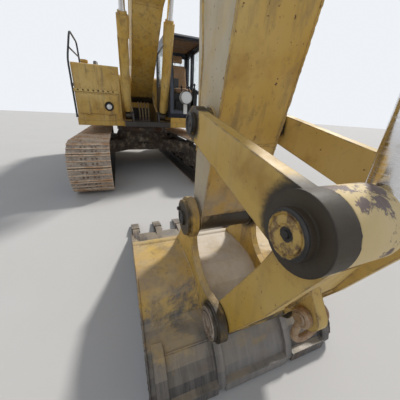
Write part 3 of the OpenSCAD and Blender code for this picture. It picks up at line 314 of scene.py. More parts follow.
def rub_boss(k, c, pin, reach):
    """Paint round a pin faded, and rubbed through to purple-grey steel in patches."""
    near = k.band(k.from_pin(pin), reach, reach * 0.8)
    c = k.mix(k.mul(near, 0.75), c, k.mix(k.noise(5, 5), (0.74, 0.55, 0.20), (0.66, 0.56, 0.38)))
    worn = k.band(k.noise(1.0, 7, 0.7, k.stretch((3.5, 6, 3.5)), 0.5), 0.52, 0.55)
    return k.mix(k.mul(near, worn), c, k.mix(k.noise(30, 5), (0.19, 0.14, 0.13), (0.10, 0.065, 0.05)))


def oil_deck(k, c):
    """Oily black on the deck's middle under the hoses, and between the plates that carry the boom."""
    front = k.mul(k.band(k.off_middle(), 0.50, 0.46), k.band(k.axis(0), -0.75, -0.70))
    c = k.mix(front, c, (0.030, 0.024, 0.019))
    slot = k.mul(k.band(k.off_middle(), 0.28, 0.25), k.band(k.axis(2), 1.80, 1.70))
    return k.mix(k.mul(slot, k.band(k.axis(0), -2.35, -2.30)), c, (0.022, 0.018, 0.015))


def paint(name, dirt, rust, wear, dust, greasy=(), streak=0.5, base=YELLOW, pale_sides=0.0, scraped=None,
          muddy=None, scoured_and_painted_sun=None, rubbed=None, oily_deck=False):
    """Old yellow paint: faded, streaked, rusty at chips, worn at edges and black near its pins.

    greasy is (pin, reach) pairs and rubbed is one of them, scraped and muddy are (z low, z high),
    and scoured is (half width, z low), all in metres. The bare steel of scraped and the pale sheet of
    scoured are painted sunlight in part.
    """
    k = Mat(name)
    c = k.mix(k.band(k.noise(1.1, 3, 0.6), 0.35, 0.68), base, YELLOW_PALE)
    c = k.mix(k.band(k.noise(2.7, 5, 0.65), 0.50, 0.72, 0, 0.75), c, YELLOW_DEEP)
    # Streaks that rain draws down
    run = k.noise(1.0, 5, 0.6, k.stretch((16, 16, 1.3)))
    c = k.mix(k.band(run, 0.50, 0.70, 0, streak), c, DIRT)
    # Dirt in patches, with fine specks
    patch = k.noise(3.4, 9, 0.72, warp=0.4)
    c = k.mix(k.band(patch, 0.62 - 0.14 * dirt, 0.74, 0, 0.85), c, DIRT)
    c = k.mix(k.band(k.noise(26, 6, 0.7), 0.56, 0.66, 0, 0.6 * dirt), c, DIRT)
    if pale_sides:
        # Sides paler grey: bleached and dusted in part, painted sunlight in part
        side = k.band(k.math("ABSOLUTE", k.axis(1, k.nor)), 0.75, 0.95, 0, pale_sides)
        side = k.mul(side, k.band(k.noise(2.1, 6, 0.65), 0.30, 0.55, 0.45, 1))
        c = k.mix(side, c, (0.50, 0.43, 0.31))
    # Rusty chips, large and tiny
    chips = k.band(k.noise(9.5, 10, 0.74, k.stretch((1, 1, 0.6), (3, 1, 7))), 0.665 - 0.05 * rust, 0.70)
    tiny = k.band(k.noise(48, 4, 0.6), 0.69 - 0.03 * rust, 0.72)
    rusty = k.math("MAXIMUM", chips, tiny)
    c = k.mix(rusty, c, RUST)
    # Edges worn to steel
    bare = k.mul(k.edges(), k.band(k.noise(14, 7, 0.7), 0.60 - 0.22 * wear, 0.62))
    c = k.mix(bare, c, k.mix(k.noise(40, 3), STEEL, RUST))
    if scraped:
        c = scraped_steel_and_painted_sun(k, c, patch, *scraped)
    # Dust on what faces up
    up = k.mul(k.band(k.axis(2, k.nor), 0.35, 0.9, 0, dust), k.band(k.noise(5, 6), 0.3, 0.6))
    c = k.mix(up, c, DUST)
    if muddy:
        c = splash_mud(k, c, *muddy)
    if scoured_and_painted_sun:
        c = pale_sheet_and_painted_sun(k, c, *scoured_and_painted_sun)
    if rubbed:
        c = rub_boss(k, c, *rubbed)
    if oily_deck:
        c = oil_deck(k, c)
    for pin, reach in greasy:
        d = k.add(k.from_pin(pin), k.spread(patch, 0.16))
        c = k.mix(k.band(d, reach, reach * 0.72, 0, 0.95), c, GREASE)
    height = k.add(k.mul(k.noise(70, 5, 0.6), 0.35), k.mul(rusty, -0.8))
    return k.finish(c, k.band(patch, 0.3, 0.75, 0.38, 0.78), 0.0, height, 0.45, 0.0035, bevel=0.006)


def steel(name, colour, tint, dusty, metal, rough, scale=1.0):
    """Bare or thinly painted steel with rust, dust and rubbed edges."""
    k = Mat(name)
    c = k.mix(k.band(k.noise(4 * scale, 7, 0.7), 0.4, 0.65), colour, tint)
    c = k.mix(k.band(k.noise(22 * scale, 5, 0.7), 0.5, 0.68, 0, 0.7), c, tuple(x * 0.45 for x in colour))
    c = k.mix(k.band(k.noise(7 * scale, 8, 0.7), 0.62 - 0.35 * dusty, 0.72, 0, 0.92), c, DUST)
    c = k.mix(k.mul(k.edges(0.008), 0.55), c, (0.50, 0.44, 0.36))
    return k.finish(c, k.band(k.noise(9, 4), 0.3, 0.7, rough - 0.15, rough + 0.2), metal,
                    k.noise(45 * scale, 6, 0.7), 0.5, 0.004, bevel=0.004)


def plain(name, colour, rough, vary, scale, strength, depth, dusty):
    """Paint, rubber or lining that varies a little; vary and dusty are shares."""
    k = Mat(name)
    c = k.mix(k.band(k.noise(scale, 5, 0.65), 0.35, 0.7), colour, tuple(x * (1 - vary) for x in colour))
    if dusty:
        up = k.mul(k.band(k.axis(2, k.nor), 0.2, 0.9), k.band(k.noise(6, 6), 0.35, 0.65, 0, dusty))
        c = k.mix(up, c, DUST)
        c = k.mix(k.band(k.noise(3.5, 7, 0.7), 0.55, 0.75, 0, dusty), c, DUST)
    return k.finish(c, rough, 0.0, k.noise(scale * 9, 4), strength, depth, bevel=0.004)


def shoes():
    """Track shoes: dark in the gaps, dusty on the plates, rubbed bright and rusty on the grousers."""
    k = Mat("track shoes")
    from_swing = k.math("ABSOLUTE", k.add(k.axis(0), BACK))
    past_axle = k.math("MAXIMUM", k.math("SUBTRACT", from_swing, AXLE_X / 1000), 0.0)
    reach = k.length(past_axle, k.math("SUBTRACT", k.axis(2), AXLE_Z / 1000))
    proud = k.math("MULTIPLY_ADD", reach, 1000.0, -SHOE_R)  # millimetres
    c = k.mix(k.band(k.noise(9, 8, 0.7), 0.38, 0.62), (0.30, 0.25, 0.205), (0.44, 0.37, 0.30))
    top = k.mix(k.band(k.noise(5, 7, 0.7), 0.42, 0.60), (0.66, 0.53, 0.40), (0.52, 0.29, 0.15))
    c = k.mix(k.band(proud, 8, 21), c, top)
    c = k.mix(k.band(k.noise(34, 6, 0.7), 0.52, 0.66, 0, 0.7), c, (0.10, 0.075, 0.06))
    c = k.mix(k.band(proud, -4, -12), c, (0.045, 0.036, 0.030))
    c = k.mix(k.mul(k.edges(0.006), 0.5), c, (0.55, 0.44, 0.32))
    return k.finish(c, 0.78, 0.1, k.noise(60, 6, 0.7), 0.5, 0.004, bevel=0.003)


def pin_face(name, pin, r):
    """Painted pin end, rubbed to gold and brown, greasy in its middle and round its rim."""
    k = Mat(name)
    d = k.add(k.from_pin(pin), k.spread(k.noise(26, 6, 0.7), 0.016))
    c = k.mix(k.band(k.noise(38, 7, 0.7), 0.44, 0.60), (0.50, 0.33, 0.09), (0.15, 0.085, 0.035))
    c = k.mix(k.band(d, r * 0.34, r * 0.28), c, GREASE)
    c = k.mix(k.band(d, r * 0.84, r * 0.92), c, GREASE)
    return k.finish(c, 0.5, 0.0, k.noise(60, 5), 0.5, 0.003, bevel=0.003)


def chrome():
    k = Mat("polished rod")
    lines = k.noise(1.0, 3, 0.5, k.stretch((6, 6, 220)))
    c = k.mix(k.band(k.noise(9, 6), 0.55, 0.75, 0, 0.5), (0.72, 0.72, 0.73), (0.35, 0.27, 0.19))
    return k.finish(c, k.band(lines, 0.3, 0.7, 0.12, 0.30), 1.0, lines, 0.08, 0.001)


def glass():
    k = Mat("window glass")
    k.bsdf.inputs["Transmission Weight"].default_value = 0.92
    k.bsdf.inputs["IOR"].default_value = 1.1
    smear = k.noise(3.0, 6, 0.7)
    c = k.mix(k.band(smear, 0.5, 0.75, 0, 0.5), (0.93, 0.97, 0.97), (0.55, 0.50, 0.42))
    return k.finish(c, k.band(smear, 0.4, 0.8, 0.03, 0.35))


def cloth():
    k = Mat("seat cloth")
    weave = k.mul(k.waves("Y", 90, 0.6), k.waves("Z", 90, 0.6))
    c = k.mix(k.band(k.noise(7, 6, 0.7), 0.35, 0.7), (0.42, 0.255, 0.135), (0.30, 0.17, 0.085))
    c = k.mix(k.mul(weave, 0.5), c, (0.52, 0.34, 0.19))
    k.bsdf.inputs["Sheen Weight"].default_value = 0.25
    return k.finish(c, 0.88, 0.0, weave, 0.35, 0.0015)


def lens():
    k = Mat("lamp glass")
    ribs = k.waves("Y", 60)
    k.bsdf.inputs["Coat Weight"].default_value = 0.6
    return k.finish(k.mix(ribs, (0.80, 0.81, 0.80), (0.62, 0.64, 0.65)), 0.22, 0.0, ribs, 0.4, 0.002)


def pale_floor():
    k = Mat("pale floor")
    return k.finish(k.mix(k.noise(0.8, 4), (0.50, 0.49, 0.475), (0.56, 0.55, 0.54)), 0.9)


mat = {
    # dirt, rust, wear, dust
    "boom": paint("boom paint", 0.5, 0.75, 0.6, 0.35,
                  greasy=((FOOT, 0.20), (TIP, 0.19), (STICK_CYL, 0.14))),
    # The stick's pale sides are painted sunlight in part
    "stick": paint("stick paint", 0.40, 1.3, 0.8, 0.25, greasy=((NOSE, 0.13), (LINK, 0.088), (TIP, 0.17)),
                   streak=0.45, pale_sides=0.85, muddy=(0.72, 1.25)),
    "links": paint("link paint", 0.22, 0.55, 0.9, 0.15, greasy=((LINK, 0.100), (KNUCKLE, 0.155)),
                   streak=0.12),
    "power": paint("power link paint", 0.35, 0.6, 0.9, 0.2, greasy=((HEEL, 0.105),), streak=0.15,
                   rubbed=(KNUCKLE, 0.13)),
    # The bucket's pale middle and the pale sheet between its ears are painted sunlight in part
    "bucket": paint("bucket paint", 0.9, 1.0, 1.0, 0.55, greasy=((NOSE, 0.15), (HEEL, 0.13)),
                    scraped=(0.25, 0.37), scoured_and_painted_sun=(0.205, 0.24)),
    "body": paint("body paint", 0.45, 0.3, 0.5, 0.35),
    "deck": paint("deck paint", 0.6, 0.4, 0.5, 0.35, oily_deck=True),
    "tank": paint("tank paint", 0.6, 0.3, 0.6, 0.2, streak=0.6, base=YELLOW_TANK),
    "cyl": paint("cylinder paint", 0.5, 0.35, 0.4, 0.2, streak=0.4,
                 greasy=((BOOM_CYL, 0.15), (STICK_CYL, 0.14), (BUCKET_CYL, 0.13))),
    # colour, tint, dusty, metal, rough, scale
    "under": steel("undercarriage", (0.075, 0.062, 0.052), (0.11, 0.075, 0.05), 0.45, 0.1, 0.75),
    "wheel": steel("wheels", (0.16, 0.12, 0.09), (0.13, 0.06, 0.03), 0.5, 0.3, 0.65),
    "ring": steel("slew ring", (0.11, 0.09, 0.075), RUST, 0.3, 0.4, 0.6),
    "bolt": steel("bolts", (0.10, 0.08, 0.065), RUST, 0.25, 0.5, 0.55, 3.0),
    "shackle": steel("shackle", (0.34, 0.22, 0.12), (0.24, 0.11, 0.045), 0.35, 0.3, 0.6, 3.0),
    "ear_face": steel("lower pin face", (0.24, 0.19, 0.15), (0.16, 0.09, 0.05), 0.5, 0.3, 0.55, 2.5),
    # colour, rough, vary, scale, strength, depth, dusty
    "grease": plain("grease", GREASE, 0.32, 0.4, 30, 0.6, 0.004, 0.0),
    "dark": plain("dark paint", (0.030, 0.028, 0.026), 0.55, 0.4, 9, 0.2, 0.002, 0.35),
    "rail": plain("rail paint", (0.035, 0.036, 0.040), 0.45, 0.3, 20, 0.2, 0.002, 0.3),
    "cab": plain("cab paint", (0.036, 0.046, 0.070), 0.38, 0.35, 6, 0.15, 0.002, 0.22),
    "lining": plain("roof lining", (0.24, 0.13, 0.065), 0.85, 0.35, 14, 0.5, 0.003, 0.0),
    "white": plain("white enamel", (0.72, 0.72, 0.69), 0.3, 0.1, 9, 0.1, 0.001, 0.15),
    "rubber": plain("hose rubber", (0.016, 0.016, 0.017), 0.6, 0.3, 40, 0.4, 0.002, 0.25),
    "hose": plain("dusty hose", (0.27, 0.21, 0.115), 0.75, 0.5, 30, 0.4, 0.002, 0.5),
    "seam": plain("seat seams", (0.10, 0.05, 0.028), 0.8, 0.3, 60, 0.4, 0.001, 0.0),
    "knob": plain("black knob", (0.014, 0.014, 0.014), 0.42, 0.2, 20, 0.1, 0.001, 0.1),
    "knuckle_face": pin_face("knuckle pin face", KNUCKLE, 0.058),
    "track": shoes(), "chrome": chrome(), "glass": glass(), "cloth": cloth(), "lens": lens(),
    "floor": pale_floor(),
}

DRESS = {
    "boom": ["boom"], "stick": ["stick"], "links": ["idler_links"], "power": ["power_link"],
    "bucket": ["bucket"], "deck": ["platform"], "tank": ["fuel_tank", "tool_box_lid"],
    "body": ["counterweight", "engine_house", "engine_hood", "side_door_left", "side_door_right"],
    "cyl": ["boom_cylinders", "stick_cylinder", "bucket_cylinder"],
    "under": ["car_body", "track_frame_left", "track_frame_right"], "track": ["track_left", "track_right"],
    "wheel": ["idler_left", "idler_right", "sprocket_left", "sprocket_right"], "ring": ["slew_ring"],
    "dark": ["engine_block", "exhaust_stack", "seat_base", "head_lamp"], "rail": ["handrails"],
    "cab": ["cab_shell", "cab_door"], "knob": ["cab_controls"], "white": ["work_lamp"],
    "hose": ["hose_bank"], "glass": ["cab_glass", "cab_door_glass"],
    "chrome": ["boom_rods", "stick_rod", "bucket_rod"], "cloth": ["seat"],
}
for key, nodes in DRESS.items():
    for node in nodes:
        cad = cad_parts[node]
        if not cad.material_slots:
            cad.data.materials.append(mat[key])
        for material_slot in cad.material_slots:
            material_slot.link = "OBJECT"
            material_slot.material = mat[key]


# ---------------------------------------------------------------- mesh helpers

def piece(name, bm, key, body=None, smooth=40):
    """Makes an object; smooth is the sharpest angle that is shaded smooth, in degrees, or 0."""
    me = bpy.data.meshes.new(name)
    bmesh.ops.recalc_face_normals(bm, faces=bm.faces[:])
    bm.to_mesh(me)
    bm.free()
    me.materials.append(mat[key])
    obj = bpy.data.objects.new(name, me)
    bpy.context.scene.collection.objects.link(obj)
    if smooth:
        me.shade_smooth()
        me.set_sharp_from_angle(angle=math.radians(smooth))
    if body:
        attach(obj, body)
    return obj


def frame_at(p, axis):
    """Matrix that takes +Z to axis and the origin to p."""
    m = Vector(axis).normalized().to_track_quat("Z", "X").to_matrix().to_4x4()
    m.translation = p
    return m


def turned(bm, p, axis, profile, n):
    """Adds a solid turned about axis at p; profile is its (radius, height) pairs, from bottom to top."""
    m = frame_at(p, axis)
    rings = []
    for r, h in profile:
        circle = [(r * c, r * s) for c, s in around(n)] if r else [(0, 0)]
        rings.append([bm.verts.new(m @ Vector((x, y, h))) for x, y in circle])
    for a, b in zip(rings, rings[1:]):
        for i in range(n):
            j = i + 1
            corners = (a[i % len(a)], a[j % len(a)], b[j % len(b)], b[i % len(b)])
            bm.faces.new(list(dict.fromkeys(corners)))


def bolt(bm, p, axis, r, h=None):
    """Washer and hexagonal head, seated at p."""
    h = h or r * 0.8
    turned(bm, p, axis, [(0, -0.001), (r * 1.35, -0.001), (r * 1.35, h * 0.22), (0, h * 0.22)], 14)
    turned(bm, p, axis, [(0, h * 0.2), (r, h * 0.2), (r, h * 0.85), (r * 0.86, h), (0, h)], 6)


def tube(bm, path, r, n, ripple=0.0, closed=False):
    """Sweeps a round section along points; ripple is the share by which its radius wanders."""
    pts = [Vector(p) for p in path]
    count = len(pts)
    rings, up = [], None
    for i, p in enumerate(pts):
        after = pts[(i + 1) % count if closed else min(i + 1, count - 1)]
        before = pts[i - 1 if closed else max(i - 1, 0)]
        t = (after - before).normalized()
        if up is None:
            up = t.orthogonal().normalized()
        up = (up - up.dot(t) * t).normalized()
        side = t.cross(up)
        radius = r * (1 + ripple * (0.5 - random.random()))
        rings.append([bm.verts.new(p + radius * (c * up + s * side)) for c, s in around(n)])
    for a, b in list(zip(rings, rings[1:])) + ([(rings[-1], rings[0])] if closed else []):
        for k in range(n):
            bm.faces.new([a[k], a[(k + 1) % n], b[(k + 1) % n], b[k]])
    if not closed:
        bm.faces.new(rings[0][::-1])
        bm.faces.new(rings[-1])


def along(a, b, step):
    n = max(2, int((b - a).length / step))
    return [a.lerp(b, i / n) for i in range(n + 1)]


def outline(corners, step):
    """Points round a closed outline."""
    sides = zip(corners, corners[1:] + corners[:1])
    return [p for a, b in sides for p in along(a, b, step)[:-1]]


BEAD = dict(n=6, ripple=0.5)


def weld(bm, points, r):
    """Rippled beads from point to point."""
    for a, b in zip(points, points[1:]):
        tube(bm, along(a, b, 0.011), r, **BEAD)


def ring_weld(bm, p, axis, radius, r):
    m = frame_at(p, axis)
    n = max(24, int(2 * math.pi * radius / 0.012))
    tube(bm, [m @ Vector((radius * c, radius * s, 0)) for c, s in around(n)], r, closed=True, **BEAD)


def smooth_path(points, n):
    """Catmull-Rom curve through the points, n steps between each two."""
    p = [2 * points[0] - points[1]] + points + [2 * points[-1] - points[-2]]
    out = []
    for a, b, c, d in zip(p, p[1:], p[2:], p[3:]):
        for j in range(n):
            t = j / n
            out.append(0.5 * ((2 * b) + (c - a) * t + (2 * a - 5 * b + 4 * c - d) * t * t
                              + (3 * b - a - 3 * c + d) * t ** 3))
    return out + [points[-1]]


def quarter_turn(v):
    return Vector((-v.y, v.x))


# ---------------------------------------------------------------- floor

bm = bmesh.new()
bmesh.ops.create_grid(bm, x_segments=8, y_segments=8, size=60)
floor = piece("floor", bm, "floor", smooth=0)
floor.location.z = -0.0015


# ---------------------------------------------------------------- linkage details

Y = Vector((0, 1, 0))


def pin_end(bm, pin, y, s, r, rim=0.010):
    """Dished pin end with a raised rim, facing s times +Y."""
    turned(bm, on_pin(pin, y), (0, s, 0),
           [(0, -0.002), (r, -0.002), (r, rim * 0.75), (r * 0.93, rim), (r * 0.80, rim),
            (r * 0.74, rim * 0.35), (r * 0.3, rim * 0.25), (r * 0.22, rim * 0.7), (0, rim * 0.7)], 32)


bm = bmesh.new()
for s in SIDES:
    pin_end(bm, LINK, s * (LINK_FACE + 13), s, 0.052)
piece("link_pin_ends", bm, "grease", "stick_arm")

bm = bmesh.new()
for s in SIDES:
    turned(bm, on_pin(KNUCKLE, s * (LINK_FACE + 28)), (0, s, 0),
           [(0, -0.002), (0.060, -0.002), (0.060, 0.004), (0.056, 0.008), (0.050, 0.008), (0.047, 0.003),
            (0.045, 0.003), (0.043, 0.007), (0.026, 0.009), (0.022, 0.004), (0.010, 0.003), (0.009, 0.008),
            (0, 0.009)], 40)
piece("knuckle_pin_ends", bm, "knuckle_face", "idler_pair")

# Dust seals where links, power link and ears run against their bosses: pin, y, radius and thickness
for name, key, body, rings in (
        ("link_seals", "rubber", "stick_arm", ((LINK, 223.5, 0.076, 0.006),)),
        ("power_link_seals", "grease", "power_link_part",
         ((HEEL, 200.5, 0.067, 0.006), (KNUCKLE, 212, 0.090, 0.006))),
        ("nose_seals", "grease", "stick_arm", ((NOSE, 200, 0.094, 0.008),))):
    bm = bmesh.new()
    for s in SIDES:
        for pin, y, radius, r in rings:
            ring_weld(bm, on_pin(pin, s * y), Y, radius, r)
    piece(name, bm, key, body)

# Weld beads of the stick, at its box corners and at the plate seams that show in front
STICK_LEAN, STICK_SIDE = math.radians(7.8), 183.5


def on_stick(q, y):
    """Point of the stick: q is its distance ahead of the nose pin and up the stick."""
    out, up = q
    c, s = math.cos(STICK_LEAN), math.sin(STICK_LEAN)
    return P(NOSE[0] + up * s + out * c, y, NOSE[1] + up * c - out * s)


STICK_FRONT = [(100, 60), (150, 500), (200, 1300), (345, 2320)]
STICK_BACK = [(-95, 420), (-120, 900), (-235, 1300), (-290, 2100), (-230, 2680)]
bm = bmesh.new()
for s in SIDES:
    for line in (STICK_FRONT, STICK_BACK):
        weld(bm, [on_stick(q, s * STICK_SIDE) for q in line], 0.0065)
for seam in ((152.5, 520), (196, 1250)):
    weld(bm, [on_stick(seam, s * 180) for s in SIDES], 0.008)
for s in SIDES:
    ring_weld(bm, on_stick((52, 600), s * (STICK_SIDE + 0.5)), Y, 0.078, 0.007)
    ring_weld(bm, on_stick((0, 0), s * (STICK_SIDE + 0.5)), Y, 0.102, 0.007)
piece("stick_welds", bm, "stick", "stick_arm")

# Weld beads of the boom, along its box corners and across its belly
BOOM_RISE, BOOM_SIDE = math.radians(19.3), 235


def on_boom(q, y):
    """Point of the boom: q is its place along and above the line from foot to tip."""
    c, s = math.cos(BOOM_RISE), math.sin(BOOM_RISE)
    return P(FOOT[0] + q[0] * c - q[1] * s, y, FOOT[1] + q[0] * s + q[1] * c)


knee, tip = Vector((2080, 930)), Vector((5520, 0))
low, high = knee.normalized(), (tip - knee).normalized()
low_up, high_up = quarter_turn(low), quarter_turn(high)
fork = tip - 690 * high
lines = (
    (low * 650 + low_up * 220, knee - low * 420 + low_up * 310),
    (knee + high * 420 + high_up * 305, fork + high_up * 165),
    (fork - high_up * 165, knee + high * 700 - high_up * 295, knee + high * 160 - high_up * 350,
     knee - low * 160 - low_up * 350, knee - low * 700 - low_up * 275, low * 650 - low_up * 165))
bm = bmesh.new()
for s in SIDES:
    for line in lines:
        weld(bm, [on_boom(q, s * BOOM_SIDE) for q in line], 0.007)
    ring_weld(bm, on_boom((2280, 900), s * BOOM_SIDE), Y, 0.092, 0.008)
for seam in (low * 1050 - low_up * 203, knee - low * 160 - low_up * 351):
    weld(bm, [on_boom(seam, s * 232) for s in SIDES], 0.009)
piece("boom_welds", bm, "boom", "boom_arm")

# Weld beads of the bucket: ears to the back sheet, end plates, bosses and the wear plate's top edge
BUCKET_BACK = [(-178, -318), (40, -310), (130, -322), (200, -350), (248, -392), (284, -446), (312, -490),
               (348, -508), (400, -512), (440, -516), (484, -530), (540, -578), (583, -640), (605, -700)]
UNDER_EARS = BUCKET_BACK[:10]
EAR_FACES, BUCKET_SIDE = (204, 250), 598
WEAR_TOP = (484, -529)
TEETH, TOOTH, TOOTH_W, TOOTH_PITCH = 5, (-1100, -730), 92, 269.5


def on_bucket(q, y):
    """Point of the bucket: q is its place from the nose pin."""
    return P(NOSE[0] + q[0], y, NOSE[1] + q[1])


bm = bmesh.new()
for s in SIDES:
    for face in EAR_FACES:
        weld(bm, [on_bucket(q, s * face) for q in UNDER_EARS], 0.009)
    weld(bm, [on_bucket(q, s * BUCKET_SIDE) for q in BUCKET_BACK], 0.007)
    ring_weld(bm, on_bucket((0, 0), s * 249.5), Y, 0.121, 0.008)
    ring_weld(bm, on_pin(HEEL, s * 249.5), Y, 0.091, 0.008)
for y0, y1 in ((-560, -262), (262, 560)):
    weld(bm, [on_bucket(WEAR_TOP, y0), on_bucket(WEAR_TOP, y1)], 0.007)
piece("bucket_welds", bm, "bucket", "bucket_part")

bm = bmesh.new()
for i in range(TEETH):
    y = (i - (TEETH - 1) / 2) * TOOTH_PITCH
    for s in SIDES:
        turned(bm, on_bucket(TOOTH, y + s * TOOTH_W / 2), (0, s, 0),
               [(0, -0.002), (0.012, -0.002), (0.012, 0.003), (0.009, 0.004), (0, 0.004)], 14)
piece("tooth_pins", bm, "bolt", "bucket_part")

# Weld beads of the power link, from knuckle to heel
knuckle, heel = Vector(KNUCKLE), Vector(HEEL)
run = (heel - knuckle).normalized()
out = quarter_turn(run)
bm = bmesh.new()
for s in SIDES:
    for a, b, y in ((knuckle + out * 81 + run * 430, heel + out * 62 - run * 70, 158),
                    (knuckle - out * 33 + run * 300, heel - out * 58 - run * 70, 158),
                    (knuckle + out * 76 + run * 350, knuckle + out * 86 + run * 530, 25)):
        weld(bm, [on_pin(a, s * y), on_pin(b, s * y)], 0.008)
piece("power_link_welds", bm, "power", "power_link_part")

# Rusty bow shackle in the lifting eye, hanging by its own weight
eye = knuckle + out * 134 + run * 440
bm = bmesh.new()
for s in SIDES:
    turned(bm, on_pin(eye, s * 29), (0, s, 0),
           [(0, -0.004), (0.034, -0.004), (0.038, 0.004), (0.038, 0.022), (0.033, 0.028), (0, 0.028)], 24)
turned(bm, on_pin(eye, -62), Y,
       [(0, 0), (0.022, 0), (0.022, 0.006), (0.017, 0.010), (0.017, 0.118), (0.014, 0.124), (0, 0.124)], 20)
HALF_BOW = ((1, 0, 12), (1, 0.6, 45), (1, 1.0, 78), (0.9, 0.8, 104), (0.6, 0.4, 124), (0.2, 0.1, 132))
bow = [P(eye.x, s * (43 * width + 14 * bulge), eye.y - drop)
       for s, half in ((-1, HALF_BOW), (1, HALF_BOW[::-1])) for width, bulge, drop in half]
tube(bm, smooth_path(bow, 5), 0.014, 12)
piece("eye_shackle", bm, "shackle", "power_link_part")

# Pin ends with their retaining bolts at boom foot, boom tip, nose and heel
bm = bmesh.new()
for s in SIDES:
    pin_end(bm, FOOT, s * 320, s, 0.053, 0.012)
piece("foot_pin_ends", bm, "grease", "upper")
bm = bmesh.new()
for s in SIDES:
    pin_end(bm, TIP, s * 284, s, 0.045, 0.012)
    for ca, sa in around(4, math.radians(45)):
        bolt(bm, P(TIP[0] + 92 * ca, s * 277, TIP[1] + 92 * sa), (0, s, 0), 0.012)
piece("tip_pin_ends", bm, "bolt", "boom_arm")
bm = bmesh.new()
for s in SIDES:
    pin_end(bm, NOSE, s * 283, s, 0.050)
    bolt(bm, on_bucket((-82, 30), s * 275), (0, s, 0), 0.014, 0.018)
piece("nose_pin_ends", bm, "grease", "bucket_part")
bm = bmesh.new()
for s in SIDES:
    pin_end(bm, HEEL, s * 273.5, s, 0.060)
    turned(bm, on_pin(HEEL, s * 273), (0, s, 0),
           [(0.064, -0.002), (0.066, 0.005), (0.083, 0.005), (0.086, -0.002)], 40)
    bolt(bm, P(HEEL[0] + 74, s * 277, HEEL[1] + 6), (0, s, 0), 0.009)
piece("ear_pin_ends", bm, "ear_face", "bucket_part")


# ---------------------------------------------------------------- undercarriage details

SPAN, ARC = 2 * AXLE_X, math.pi * SHOE_R
PITCH_LEN = (2 * SPAN + 2 * ARC) / SHOES


def on_loop(s):
    """Point and outward direction, as (x, z), at distance s round the track from above its idler."""
    s %= 2 * SPAN + 2 * ARC
    if s < SPAN:
        return (AXLE_X - s, AXLE_Z + SHOE_R), (0, 1)
    if s < SPAN + ARC:
        axle, a = -AXLE_X, math.radians(90 + (s - SPAN) / ARC * 180)
    elif s < 2 * SPAN + ARC:
        return (-AXLE_X + s - SPAN - ARC, AXLE_Z - SHOE_R), (0, -1)
    else:
        axle, a = AXLE_X, math.radians(270 + (s - 2 * SPAN - ARC) / ARC * 180)
    c, s = math.cos(a), math.sin(a)
    return (axle + SHOE_R * c, AXLE_Z + SHOE_R * s), (c, s)


def bolt_circle(bm, centre, n, radius, axis, r, across, up):
    """Ring of bolts round centre, in the plane of the vectors across and up; radius is in millimetres."""
    for c, s in around(n):
        bolt(bm, centre + (radius * c * across + radius * s * up) / 1000, axis, r)


X, Z = Vector((1, 0, 0)), Vector((0, 0, 1))
for side, label in ((1, "left"), (-1, "right")):
    bm = bmesh.new()
    for i in range(SHOES):
        for share in (0.55, 0.95):
            place, (nx, nz) = on_loop((i + share) * PITCH_LEN)
            for dy in (-112, -52, 52, 112):
                bolt(bm, on_pin(place, side * TRACK_Y + dy), (nx, 0, nz), 0.015, 0.013)
    piece("shoe_bolts_" + label, bm, "bolt", "undercarriage", 0)
    bm = bmesh.new()
    bolt_circle(bm, P(-AXLE_X, side * (TRACK_Y + 210), AXLE_Z), 16, 160, (0, side, 0), 0.013, X, Z)
    bolt_circle(bm, P(AXLE_X, side * (TRACK_Y + 94), AXLE_Z), 6, 78, (0, side, 0), 0.013, X, Z)
    piece("hub_bolts_" + label, bm, "bolt", "undercarriage", 0)
bm = bmesh.new()
bolt_circle(bm, P(0, 0, 1015.3), 36, 625, Z, 0.013, X, Y)
piece("slew_bolts", bm, "bolt", "undercarriage", 0)


# ---------------------------------------------------------------- cab details

